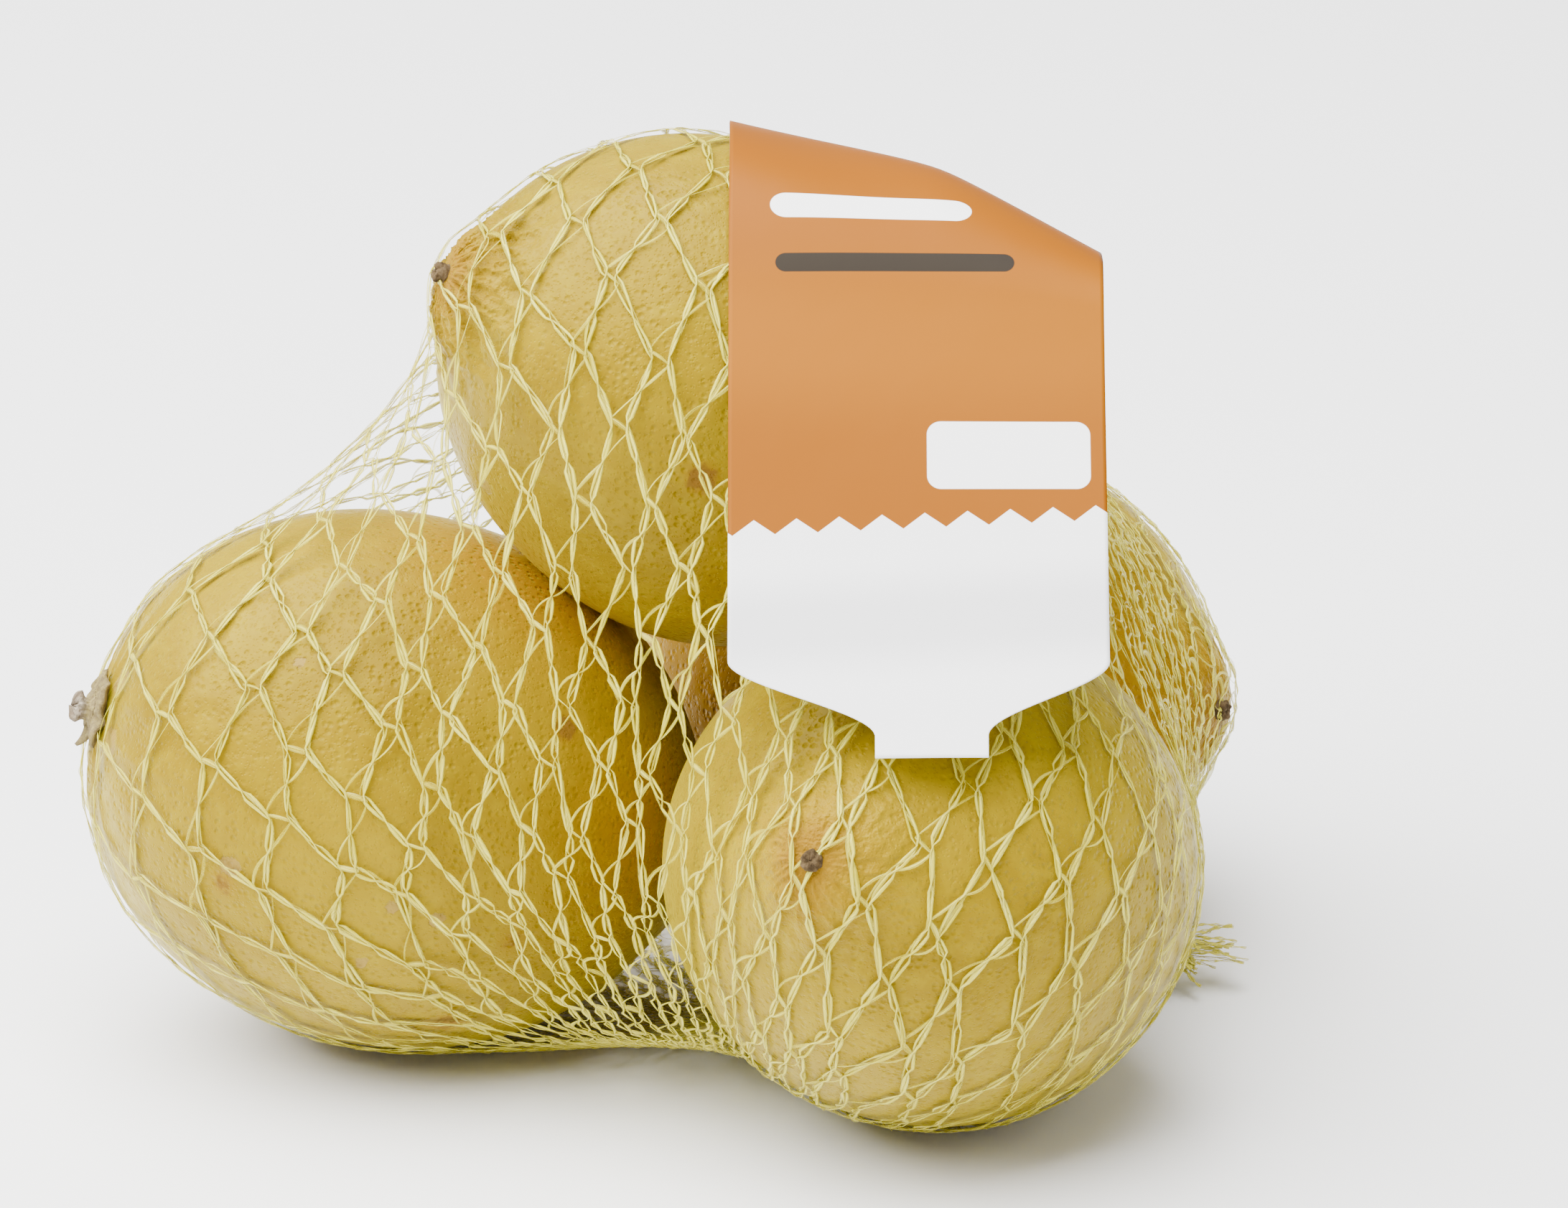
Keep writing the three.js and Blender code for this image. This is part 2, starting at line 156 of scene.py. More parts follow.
def waves(turn, along, seed, orders, rates):
    """A sum of sine waves that closes round a turn: each has a whole number of waves round it, a rate
    along it and a phase from the seed. The result is from about -1 to 1."""
    rng = np.random.default_rng(seed)
    total = np.zeros(np.broadcast(turn, along).shape)
    for order in orders:
        rate, phase, drift = rng.uniform(*rates), rng.uniform(0, 2 * np.pi), rng.uniform(-1, 1)
        total = total + np.sin(order * turn + rate * along + phase + drift * np.sin(3 * along + phase))
    return total / np.sqrt(len(orders))


# The lemons' shape

# Heights and depths in millimetres, and the angles from an end within which the first two stand.
NIPPLE_HEIGHT, NIPPLE_ANGLE = 3.4, 0.23
DENT_HEIGHT, DENT_ANGLE = -1.0, 0.35
LUMP_HEIGHT = 0.16
CREASE_DEPTH, FINE_CREASE_DEPTH = 0.6, 0.3  # round the blossom end
FURROW_DEPTH, STEM_PIT_DEPTH = 0.38, 0.4  # round the stem end
FOLDS = {"top": 1.0}  # how strongly a lemon's blossom end is creased
PLAIN_FOLDS = 0.3
# The peel's colour carries painted warm bounce light where another lemon comes close.
GLOW_REACH = {"left": 5.5, "back": 14.0}  # how far a neighbour's warm light reaches on the peel
PLAIN_GLOW_REACH = 3.5


class Fruit:
    """A lemon: its middle, the way its blossom end points, its radius at the waist and half its length."""

    def __init__(self, name, middle, heading, tilt, radius, half, seed):
        self.name, self.radius, self.half, self.seed = name, radius, half, seed
        self.middle = vec(*middle) + BASE
        h, t = np.radians([heading, tilt])
        self.axis = vec(np.cos(h) * np.cos(t), np.sin(h) * np.cos(t), np.sin(t))
        self.side = unit(np.cross(vec(0, 0, 1), self.axis))
        self.third = np.cross(self.axis, self.side)
        rng = np.random.default_rng(seed)
        self.lumps = [(unit(rng.normal(size=3)) * rng.uniform(2.5, 5), rng.uniform(0, 6)) for _ in range(4)]

    def skin(self, away):
        """Distance from the middle to the skin along unit directions: an ellipse through half and
        radius, a nipple and a dent that die away with the fourth power of the angle, and low lumps."""
        angle = np.arccos(np.clip(away @ self.axis, -1, 1))
        across, along = self.half * np.sin(angle), self.radius * np.cos(angle)
        body = self.radius * self.half / np.hypot(across, along)
        blossom = NIPPLE_HEIGHT / (1 + (angle / NIPPLE_ANGLE) ** 4)
        stem = DENT_HEIGHT / (1 + ((np.pi - angle) / DENT_ANGLE) ** 4)
        lumps = sum(np.sin(away @ wave + phase) for wave, phase in self.lumps)
        return body + blossom + stem + LUMP_HEIGHT * lumps * np.sin(angle) ** 2

    def direction(self, angle, turn):
        """Unit direction at an angle from the blossom end and a turn round the axis."""
        flat = np.cos(turn)[..., None] * self.side + np.sin(turn)[..., None] * self.third
        return np.cos(angle)[..., None] * self.axis + np.sin(angle)[..., None] * flat

    def end(self, blossom=True, lift=0.0):
        """The skin's point at one end of the axis, lifted off it, and the direction outwards."""
        out = self.axis if blossom else -self.axis
        return self.middle + out * (self.skin(out) + lift), out


FRUIT = [
    Fruit("left", (-46.7, 0.6, 32.7), 11.8, -18, 31.8, 37.3, 11),
    Fruit("front", (17.1, -24.4, 31.3), -112.2, 21.7, 30.1, 36.3, 12),
    Fruit("back", (16.3, 42.2, 30.7), -29, 3.7, 30.3, 38.4, 13),
    Fruit("top", (-7.8, 7.0, 79.4), 198, 27.7, 29.4, 33.9, 14),
]


def gap_to_fruit(points, lemons=FRUIT):
    """For each point, its distance outside the nearest lemon's skin and the direction away from it."""
    best = np.full(points.shape[:-1], FAR)
    out = np.zeros(points.shape)
    for fruit in lemons:
        away = points - fruit.middle
        far = np.linalg.norm(away, axis=-1)
        away = away / (far[..., None] + TINY)
        gap = far - fruit.skin(away)
        nearer = gap < best
        best = np.where(nearer, gap, best)
        out = np.where(nearer[..., None], away, out)
    return best, out


def clear_of_fruit(points, clearance):
    """Points inside a lemon, or closer to it than the clearance, moved straight out from its middle."""
    for fruit in FRUIT:
        away = points - fruit.middle
        far = np.linalg.norm(away, axis=-1)
        need = fruit.skin(away / (far[..., None] + TINY)) + clearance
        points = points + away * (np.maximum(need - far, 0) / (far + TINY))[..., None]
    return points


# Marks on the peel: lemon, place in the lemons' own coordinates, size in millimetres, strength.
BROWN_SPOTS = [
    ("left", (-25.3, -19.3, 46.7), 1.8, 1.0),
    ("left", (-64.8, -27.8, 30.8), 1.9, 0.6),
    ("left", (-39.5, -22.1, 11.0), 2.1, 0.9),
    ("left", (-31.3, -26.3, 23.1), 1.7, 0.65),
    ("top", (-9.3, -22.7, 78.4), 2.0, 1.0),
]
TAN_SCARS = [
    ("left", (-63.9, -28.4, 33.0), 1.6, 1.0),
    ("left", (-40.0, -30.0, 27.1), 1.2, 1.0),
    ("left", (-45.1, -31.0, 29.1), 1.0, 1.0),
    ("left", (-48.8, -29.1, 21.4), 1.0, 1.0),
    ("left", (-55.7, -21.9, 55.8), 1.0, 0.9),
    ("left", (-77.7, -8.7, 48.9), 2.2, 1.0),
    ("left", (-78.8, -12.9, 42.5), 2.0, 1.0),
    ("top", (-38.1, -5.0, 77.7), 1.7, 1.0),
    ("top", (-34.9, -8.3, 72.8), 1.7, 1.0),
    ("top", (-38.8, -6.2, 86.1), 1.9, 1.0),
]


def spotted(points, name, spots):
    """How strongly the named lemon's spots show at points: each fades with its distance as exp(-d^2)."""
    shown = np.zeros(points.shape[:-1])
    for lemon_name, place, size, strength in spots:
        if lemon_name == name:
            far = np.linalg.norm(points - (vec(*place) + BASE), axis=-1)
            shown = np.maximum(shown, strength * np.exp(-((far / size) ** 2)))
    return shown


def lemon(fruit, material, rows=170, columns=240):
    """A lemon's peel on a grid of rows from the blossom end to the stem end and columns round it. The
    rows stand closer near the ends. Furrows round both ends are waves that fade away from the end."""
    row_crowding = 0.09
    t = (np.arange(rows) + 0.5) / rows
    angle = (np.pi * (t - row_crowding * np.sin(2 * np.pi * t)))[:, None]
    turn = (2 * np.pi * np.arange(columns) / columns)[None]
    angle, turn = np.broadcast_arrays(angle, turn)
    away = fruit.direction(angle, turn)
    skin = fruit.skin(away)
    stem = np.pi - angle
    collar = smooth(angle, 0.03, 0.11) * (1 - smooth(angle, 0.2, 0.52))
    creased = waves(turn, 14 * angle, fruit.seed, (5, 7, 9, 12, 16), (-2, 2))
    fine = waves(turn, 40 * angle, fruit.seed + 50, (11, 15, 20, 27), (-2, 2))
    folds = FOLDS.get(fruit.name, PLAIN_FOLDS)
    skin = skin - folds * collar * (CREASE_DEPTH * np.abs(creased) + FINE_CREASE_DEPTH * np.abs(fine))
    radiating = waves(turn, 2 * stem, fruit.seed + 90, (5, 8, 9), (-1, 1))
    shoulder = smooth(stem, 0.05, 0.16) * (1 - smooth(stem, 0.3, 0.75))
    skin = skin - FURROW_DEPTH * np.abs(radiating) * shoulder
    skin = skin - STEM_PIT_DEPTH * (1 - smooth(stem, 0.02, 0.16))
    rings = fruit.middle + away * skin[..., None]
    mark, scar = spotted(rings, fruit.name, BROWN_SPOTS), spotted(rings, fruit.name, TAN_SCARS)
    # painted warm bounce light: the peel turns oranger where another lemon is near, fading over the reach
    others = [other for other in FRUIT if other is not fruit]
    reach = GLOW_REACH.get(fruit.name, PLAIN_GLOW_REACH)
    near = np.exp(-np.maximum(gap_to_fruit(rings, others)[0], 0) / reach)
    points, triangles = closed_of_rings(rings)
    values = {"tip": angle, "stem": stem, "mark": mark, "scar": scar, "near": near}
    values = {key: with_ends(numbers) for key, numbers in values.items()}
    return make_piece(f"lemon_{fruit.name}", points, triangles, material, values)


def frame_at(direction):
    """Two unit vectors square to a direction, for building a small piece round it."""
    side = unit(np.cross(direction, vec(0.31, 0.17, 0.93)))
    return side, np.cross(direction, side)


def turned_piece(point, direction, radius, height):
    """Rings round a direction from a point: radius and height are arrays over (rows, columns)."""
    side, third = frame_at(direction)
    columns = radius.shape[1]
    turn = 2 * np.pi * np.arange(columns) / columns
    flat = np.cos(turn)[:, None] * side + np.sin(turn)[:, None] * third
    return point + flat[None] * radius[..., None] + direction * height[..., None]


def dome(t, start):
    """A profile that is 1 up to start and closes to 0 at 1, as the square root of 1 - x^2.6."""
    return np.sqrt(np.clip(1 - np.clip((t - start) / (1 - start), 0, 1) ** 2.6, 0, 1))


def style_peg(fruit, material, radius=1.25, height=2.3):
    """The dry peg at a lemon's blossom end: a rough stub with a rounded, pitted top. Its radius follows
    a dome profile over its height and carries waves round it."""
    rows, columns = 22, 36
    t = np.linspace(0, 1, rows)[:, None]
    turn = np.broadcast_to(2 * np.pi * np.arange(columns)[None] / columns, (rows, columns))
    sunk = 0.7  # how deep the peg's foot stands in the peel
    point, out = fruit.end(lift=-sunk)
    profile = dome(t, 0.45) * (1 - 0.1 * t)
    rough = waves(turn, 5 * t, fruit.seed + 7, (2, 3, 5, 8), (-3, 3))
    r = radius * profile * (1 + 0.12 * rough * (0.3 + t)) + 0.02
    pit = 0.5 * np.exp(-((r / (0.5 * radius)) ** 2)) * smooth(t, 0.75, 1)
    h = height * (t + 0 * turn) - pit + 0.1 * rough * smooth(t, 0.5, 0.9)
    points, triangles = closed_of_rings(turned_piece(point, out, r, h))
    values = {"height": with_ends(np.broadcast_to(t, r.shape))}
    return make_piece(f"peg_{fruit.name}", points, triangles, material, values)


STAR_RADIUS = 4.3


def stem_star(fruit, material, radius=STAR_RADIUS, peg=(1.7, 2.2), replaced=()):
    """The dry star at a stem end and its woody peg, as one surface: rings run from the underside's
    middle, out along the underside of the lobes, back over their tops and up the peg to its broken end.
    The outline is a circle with five uneven lobes, and the lobes' edges curl away from the peel."""
    columns = 120
    turn = 2 * np.pi * np.arange(columns)[None] / columns
    seed = fruit.seed + 30
    lobes = 1 + 0.14 * np.cos(5 * turn + 0.6) + 0.13 * waves(turn, 0 * turn, seed, (2, 3, 4, 7), (0, 1))
    foot_share = 0.46  # where on the lobes the peg begins
    under = np.linspace(0.1, 1, 9)[:, None]
    over = np.linspace(1, foot_share, 11)[1:, None]
    wave = waves(turn, 0 * turn, seed + 1, (3, 5, 6, 9), (0, 1))
    curl = (0.75 + 0.5 * wave) * radius / STAR_RADIUS
    lobe_thick = 0.55
    lift = lambda t: curl * t**3
    grain = lambda t: 0.16 * waves(turn, 5 * t, seed + 2, (9, 14, 21, 27), (-1, 1))
    rim = radius * lobes
    peg_radius, peg_height = peg
    up = np.linspace(0, 1, 26)[:, None]
    bark = waves(turn, 3 * up, seed + 3, (2, 3, 7, 11, 17), (-2, 2))
    waist = 1 - 0.3 * np.sin(np.pi * np.clip(up * 1.5, 0, 1)) + 0.04 * smooth(up, 0.6, 0.95)
    closing = dome(up, 0.74)
    foot = foot_share * radius * lobes
    peg_ring = peg_radius * waist * (1 + 0.09 * bark)
    r = np.concatenate([
        rim * under,
        rim * over * (1 - 0.02 * grain(over)),
        mixed(foot, peg_ring, smooth(up, 0, 0.22)) * closing + 0.02,
    ])
    top = lobe_thick + 0.35 * grain(over) + 1.5 * (1 - over)
    h = np.concatenate([
        lift(under) + 0.1 * grain(under),
        lift(over) + top,
        lobe_thick + 0.81 + lift(foot_share) + peg_height * up + 0.25 * bark * smooth(up, 0.8, 1),
    ])
    zone = np.concatenate([0 * under + 0 * turn, 0.3 + 0 * over * turn, 0.3 + 0.7 * up + 0 * turn])
    sunk = 0.45
    point, out = fruit.end(blossom=False, lift=-sunk)
    points, triangles = closed_of_rings(turned_piece(point, out, r, h))
    values = {"height": with_ends(zone)}
    return make_piece(f"stem_{fruit.name}", points, triangles, material, values, replaced)


# The net's lie

HEART = vec(4, 4, 46) + BASE  # a point between the lemons from which the whole net is seen
NECK_TOP = vec(5.77, 47.88, 49.9) + BASE
NECK_LOW = vec(-2.11, 2.12, 2.0) + BASE  # where the tube draws together, under the lemons
END_RADIUS, BUNDLE_RADIUS = 2.0, 1.75  # of the ring of knots at a neck, and of the strands beyond it
WRAP_CLEARANCE, KNOT_CLEARANCE, FLOOR_CLEARANCE = 0.6, 0.5, 0.45  # of the net as it settles
SAG = 0.012  # how far a point sinks in a round
EASE = 1.5  # how much of a bar's misfit one pass takes out
APART_TIGHT, APART_SLACK = 0.75, 1.9  # from a knot's middle to the chains on both sides of it
SLACK_RANGE = 0.06, 0.3  # shares of a bar's length from which it counts as slack, and as fully slack
CLIP_TOP = vec(14, 36, 80) + BASE
CLIP_LOW = vec(39.5, 10.5, 6) + BASE
TAIL_TOP = unit(vec(0.2, 0.97, 0.15))
TAIL_LOW = unit(vec(0.93, 0.36, -0.04))
CLIP_START, CLIP_WIDE, CLIP_BORE, CLIP_WALL = 4.4, 3.4, 2.4, 1.1  # the start is a distance along the tail
ROPE_LOW = [vec(*place) + BASE for place in ((8, 3.6, 2.2), (18, 5.4, 2.6), (28, 8.0, 4.4))]
ROPE_TOP = [vec(13.2, 35.0, 72.0) + BASE]


def tube_directions(meshes, rows, crowding, twist):
    """Directions from the heart of a tube's grid of 2 x meshes columns and rows rows. A column is a
    circular arc on the unit sphere, from the low neck to the top one, through a point of the belt half
    way between them. The belt's point turns a little from row to row, by twist degrees in all."""
    low, top = NECK_LOW - HEART, NECK_TOP - HEART
    ends = END_RADIUS / np.linalg.norm(low), END_RADIUS / np.linalg.norm(top)
    low, top = unit(low), unit(top)
    side, third = unit(top + low), unit(np.cross(top, low))
    share = np.linspace(0, 1, rows)[:, None]
    even = np.pi * np.arange(2 * meshes)[None] / meshes + np.radians(twist) * (share - 0.5)
    turn = (even + crowding * np.sin(even))[..., None]
    belt = side * np.cos(turn) + third * np.sin(turn)
    axis = unit(np.cross(belt - low, top - low))
    centre = axis * (axis @ low)[..., None]
    arm, belt_arm = low - centre, belt - centre
    half = np.arctan2((np.cross(arm, belt_arm) * axis).sum(-1), (arm * belt_arm).sum(-1))
    sweep = 2 * np.where(half > 0, half, half + 2 * np.pi)
    length = np.linalg.norm(arm, axis=-1)
    first, last = ends[0] / length, sweep - ends[1] / length
    angle = (first + (last - first) * share)[..., None]
    return arm * np.cos(angle) + np.cross(axis, arm) * np.sin(angle) + centre


def wrapping(directions):
    """Distance from the heart, along each direction, to a wrapping pulled straight over the lemons: the
    nearest of the planes that touch them, one for each of many even directions."""
    normals, grid = even_directions(5000), even_directions(1500)
    reach = np.full(len(normals), -FAR)
    for fruit in FRUIT:
        skin = fruit.middle + grid * (fruit.skin(grid) + WRAP_CLEARANCE)[:, None]
        reach = np.maximum(reach, (normals @ (skin - HEART).T).max(1))
    facing = directions.reshape(-1, 3) @ normals.T
    grazing = 0.05
    hits = np.where(facing > grazing, reach[None] / np.maximum(facing, grazing), FAR)
    return hits.min(1).reshape(directions.shape[:-1])


class Netting:
    """The net as points joined by bars. Knots stand where row and column have an even sum, and a bar
    joins each knot to the two above it. Each bar has a point half way, so that it can bend."""

    def __init__(self, meshes, rows, bar, twist, crowding, pull, short, rounds):
        """The net starts on the straight wrapping. In each round every point sinks a little, each half
        of a bar that is too long draws its ends together, and slack halves draw in to the share
        `short` of their length, by the strength `pull`. Then the points move out of the lemons."""
        self.columns, self.rows = 2 * meshes, rows
        columns = self.columns
        directions = tube_directions(meshes, rows, crowding, twist)
        grid = HEART + directions * wrapping(directions)[..., None]
        row, column = np.meshgrid(np.arange(rows), np.arange(columns), indexing="ij")
        is_knot = (row + column) % 2 == 0
        self.number = np.full((rows, columns), -1)
        self.number[is_knot] = np.arange(is_knot.sum())
        knots = grid[is_knot]
        j, k = row[is_knot], column[is_knot]
        inner = j < rows - 1
        a = np.tile(self.number[j[inner], k[inner]], 2)
        b = np.concatenate([self.number[j[inner] + 1, (k[inner] + s) % columns] for s in (1, -1)])
        middle = len(knots) + np.arange(len(a))
        # the chain that a bar belongs to: bars between columns c and c + 1 are chain c
        chain = np.concatenate([k[inner], (k[inner] - 1) % columns])
        self.middle_of = np.zeros((rows - 1, columns), int)
        self.middle_of[np.tile(j[inner], 2), chain] = middle
        for end, neck in ((0, NECK_LOW), (rows - 1, NECK_TOP)):
            at = j == end
            knots[at] = neck + unit(knots[at] - knots[at].mean(0)) * END_RADIUS
        points = np.concatenate([knots, (knots[a] + knots[b]) / 2])
        loose = np.ones(len(points))
        loose[: len(knots)][(j == 0) | (j == rows - 1)] = 0
        starts, ends = np.concatenate([a, middle]), np.concatenate([middle, b])
        joins = np.bincount(np.concatenate([starts, ends]), minlength=len(points))
        share = (EASE / np.maximum(joins, 1) * loose)[:, None]
        for _ in range(rounds):
            points[:, 2] -= SAG * loose
            for _ in range(2):
                v = points[ends] - points[starts]
                length = np.linalg.norm(v, axis=1) + TINY
                move = np.maximum(length - bar / 2, 0) + (length - bar / 2 * short) * pull
                move = (v * (0.5 * move / length)[:, None]).T
                gather = lambda at: np.stack([np.bincount(at, part, len(points)) for part in move], -1)
                points += (gather(starts) - gather(ends)) * share
            points = clear_of_fruit(points, KNOT_CLEARANCE)
            points[:, 2] = np.maximum(points[:, 2], FLOOR_CLEARANCE)
        self.points, self.bar = points, bar
        halves = [np.linalg.norm(points[end] - points[middle], axis=1) for end in (a, b)]
        loose_by = np.clip(1 - (halves[0] + halves[1]) / bar, 0, 1)
        total = np.bincount(a, loose_by, len(knots)) + np.bincount(b, loose_by, len(knots))
        self.slack = total / np.bincount(np.concatenate([a, b]), minlength=len(knots))

    def chains(self):
        """Each chain's nodes, knots and middles in turn: (chains, 2 rows - 1, 3), the bag's outward
        normals there, and how slack the net is at each knot. At a knot a chain stays on its own side of
        the knot, and farther from it where the net is slack."""
        rows, columns = self.rows, self.columns
        j = np.arange(rows)[None]
        c = np.arange(columns)[:, None]
        at_left = (j + c) % 2 == 0
        column = np.where(at_left, c, c + 1) % columns
        knot = self.points[self.number[j, column]]
        right = self.points[self.number[j, (column + 2) % columns]]
        left = self.points[self.number[j, (column - 2) % columns]]
        side = unit(right - left)
        room = np.minimum(np.linalg.norm(right - knot, axis=-1), np.linalg.norm(knot - left, axis=-1))
        slack = smooth(self.slack[self.number[j, column]], *SLACK_RANGE)
        apart = np.minimum(mixed(APART_TIGHT, APART_SLACK, slack), 0.25 * room)
        knot = knot + side * (np.where(at_left, 1, -1) * apart)[..., None]
        middle = self.points[self.middle_of.T]
        nodes = np.zeros((columns, 2 * rows - 1, 3))
        nodes[:, ::2], nodes[:, 1::2] = knot, middle
        sides = np.zeros_like(nodes)
        sides[:, ::2], sides[:, 1::2] = side, unit(side[:, 1:] + side[:, :-1])
        along = np.gradient(nodes, axis=1)
        normals = unit(np.cross(sides, along))
        inwards = ((nodes - HEART) * normals).sum(-1) < 0
        return nodes, np.where(inwards[..., None], -normals, normals), slack


# The net's tapes

MOST_TRIANGLES = 190000  # of a piece
STEPS = 5  # points to each half bar
STRAIGHTNESS = 0.55  # share of straight bars in a chain's line, the rest of it is a smooth curve
LAID_FLAT = 0.85  # how far a tape on the peel turns flat to it
PATH_CLEARANCE, TAPE_CLEARANCE, JOIN_CLEARANCE = 0.28, 0.16, 0.14  # off the peel
TAPE_FLOOR = 0.12
LEG_THICK, INLAY_THICK, JOIN_THICK = 0.08, 0.06, 0.1
LEG_COVER, INLAY_COVER = 0.6, 0.26  # how opaque the tapes are
EYELET_TIGHT, EYELET_SLACK = (0.1, 0.36), (0.25, 0.75)  # range of an eyelet's half width
DROOP = 1.7  # sag of a joining tape where the net is fully slack
TUFT_LENGTH = 9.4


def wandering(points, seed, size, count=6):
    """A shift that changes smoothly from place to place: a sum of sine waves along random directions,
    7 to 14 millimetres long, each of which moves points along a random direction of its own."""
    rng = np.random.default_rng(seed)
    shift = np.zeros(points.shape)
    for _ in range(count):
        wave, way = unit(rng.normal(size=3)) * rng.uniform(0.45, 0.9), unit(rng.normal(size=3))
        shift = shift + np.sin(points @ wave + rng.uniform(0, 2 * np.pi))[..., None] * way
    return shift * size


def through(nodes, steps):
    """Points on a smooth curve through nodes along axis 1, with steps to each stretch: on a stretch the
    curve is the cubic whose slopes at both ends are half the step between the nodes next to them."""
    before = np.concatenate([2 * nodes[:, :1] - nodes[:, 1:2], nodes[:, :-2]], 1)
    after = np.concatenate([nodes[:, 2:], 2 * nodes[:, -1:] - nodes[:, -2:-1]], 1)
    a, b = nodes[:, :-1], nodes[:, 1:]
    t = (np.arange(steps) / steps)[None, None, :, None]
    a, b, p, q = (x[:, :, None] for x in (a, b, before, after))
    square, cube = 2 * p - 5 * a + 4 * b - q, 3 * a - p - 3 * b + q
    curve = 0.5 * (2 * a + (b - p) * t + square * t**2 + cube * t**3)
    curve = curve.reshape(len(nodes), -1, nodes.shape[-1])
    return np.concatenate([curve, nodes[:, -1:]], 1)


def straight_through(nodes, steps):
    """Points on the straight lines through nodes along axis 1, with steps to each stretch."""
    t = (np.arange(steps) / steps)[None, None, :, None]
    line = mixed(nodes[:, :-1, None], nodes[:, 1:, None], t).reshape(len(nodes), -1, nodes.shape[-1])
    return np.concatenate([line, nodes[:, -1:]], 1)


def rolled(side, normal, angle):
    """Side and normal vectors, turned by an angle about the line that is square to both."""
    c, s = np.cos(angle)[..., None], np.sin(angle)[..., None]
    return side * c + normal * s, normal * c - side * s


def off_everything(points, clearance):
    """Points moved out of the lemons by a clearance, and up off the floor."""
    points = clear_of_fruit(points, clearance)
    points[..., 2] = np.maximum(points[..., 2], TAPE_FLOOR)
    return points


def tapes(name, paths, sides, normals, widths, thick, values, material):
    """Flat tapes along paths (tapes, steps, 3), as closed meshes in pieces of limited size.
    A tape's section has four corners: half its width to each side, half its thickness up and down."""
    half_wide, half_thick = sides * widths[..., None] / 2, normals * thick / 2
    corners = np.stack([half_wide, half_thick, -half_wide, -half_thick], 2)
    points = paths[:, :, None] + corners
    count, steps = paths.shape[:2]
    run = np.cumsum(np.linalg.norm(np.diff(paths, axis=1, prepend=paths[:, :1]), axis=-1), 1)
    values = {**values, "run": run}
    each = (steps - 1) * 8 + 4
    pieces = int(np.ceil(count * each / MOST_TRIANGLES))
    made = []
    for i, part in enumerate(np.array_split(np.arange(count), pieces)):
        index = np.arange(len(part) * steps * 4).reshape(len(part), steps, 4)
        a, b = index[:, :-1], index[:, 1:]
        a2, b2 = np.roll(a, -1, 2), np.roll(b, -1, 2)
        walls = np.stack([a, b, b2, a, b2, a2], -1).reshape(-1, 3)
        start, end = index[:, 0], index[:, -1]
        caps = [start[:, [0, 1, 2]], start[:, [0, 2, 3]], end[:, [2, 1, 0]], end[:, [3, 2, 0]]]
        triangles = np.concatenate([walls, *caps])
        numbers = {k: np.repeat(v[part][..., None], 4, -1) for k, v in values.items()}
        numbers["edge"] = np.broadcast_to([0.0, 0.5, 1.0, 0.5], points[part].shape[:-1])
        label = f"{name}_{i + 1}" if pieces > 1 else name
        made.append(make_piece(label, points[part], triangles, material, numbers))
    return made


def bundle(centres, count, radius, seed):
    """Nodes of count strands that run side by side along a line of centres: each keeps its own place in
    a round bundle, given by the golden angle and the square root of its number."""
    line = np.asarray(centres, float)
    along = unit(np.gradient(line, axis=0))
    side = unit(np.cross(along, vec(0.1, 0.2, 1)))
    up = np.cross(side, along)
    rng = np.random.default_rng(seed)
    order = rng.permutation(count)
    far = radius * np.sqrt((order + 0.5) / count)
    turn = GOLDEN_ANGLE * order
    flat = np.cos(turn)[:, None, None] * side + np.sin(turn)[:, None, None] * up
    return line[None] + flat * far[:, None, None]


def frayed(start, direction, count, seed, length, spread):
    """Nodes of count loose strand ends that leave a clip. Neighbours share a tip, so that each pair is
    a loop. Every fifth loop runs out to a place of its own in a flat fan, and the rest are cut short."""
    rng = np.random.default_rng(seed)
    side = unit(np.cross(direction, vec(0, 0, 1)))
    up = np.cross(side, direction)
    number = np.arange(count)
    pair, way = number // 2, np.where(number % 2 == 0, 1, -1)[:, None]
    long_every, flatness, lowest = 5, 0.42, 0.3
    is_long = pair % long_every == 0
    pick = lambda low, high: rng.uniform(low, high, pair.max() + 1)[pair]
    reach = length * np.where(is_long, pick(0.6, 1.0), pick(0.1, 0.3))
    wide, high = pick(-1, 1), pick(-1, 1)
    t = np.linspace(0, 1, 6)[1:][None]
    curl = 0.7 * np.sin(t * pick(2, 7)[:, None] + pick(0, 6)[:, None]) * t
    belly = way * (pick(0.2, 0.8) * np.where(is_long, 1, 0.4))[:, None] * np.sin(np.pi * t)
    across = wide[:, None] * spread * t**1.2 + curl + belly
    strays = 0.5 * np.roll(curl, 2, 0) + 0.6 * np.roll(belly, 1, 0)
    lifted = high[:, None] * spread * flatness * t + strays - t
    nodes = start[:, None] + direction * (reach[:, None] * t)[..., None]
    nodes = nodes + side * across[..., None] + up * lifted[..., None]
    nodes[..., 2] = np.maximum(nodes[..., 2], lowest)
    return nodes


def net_end(line, clip, tail, into_clip, count, seeds, spread):
    """Nodes of the strands beyond a neck: along a line, straight through the clip and into the tuft."""
    in_clip = np.array([into_clip, CLIP_START + CLIP_WIDE / 2, CLIP_START + CLIP_WIDE])[:, None]
    strands = bundle([*line, *(clip + tail * in_clip)], count, BUNDLE_RADIUS, seeds[0])[:, 1:]
    tuft = frayed(strands[:, -1], tail, count, seeds[1], TUFT_LENGTH, spread)
    return np.concatenate([strands, tuft], 1)


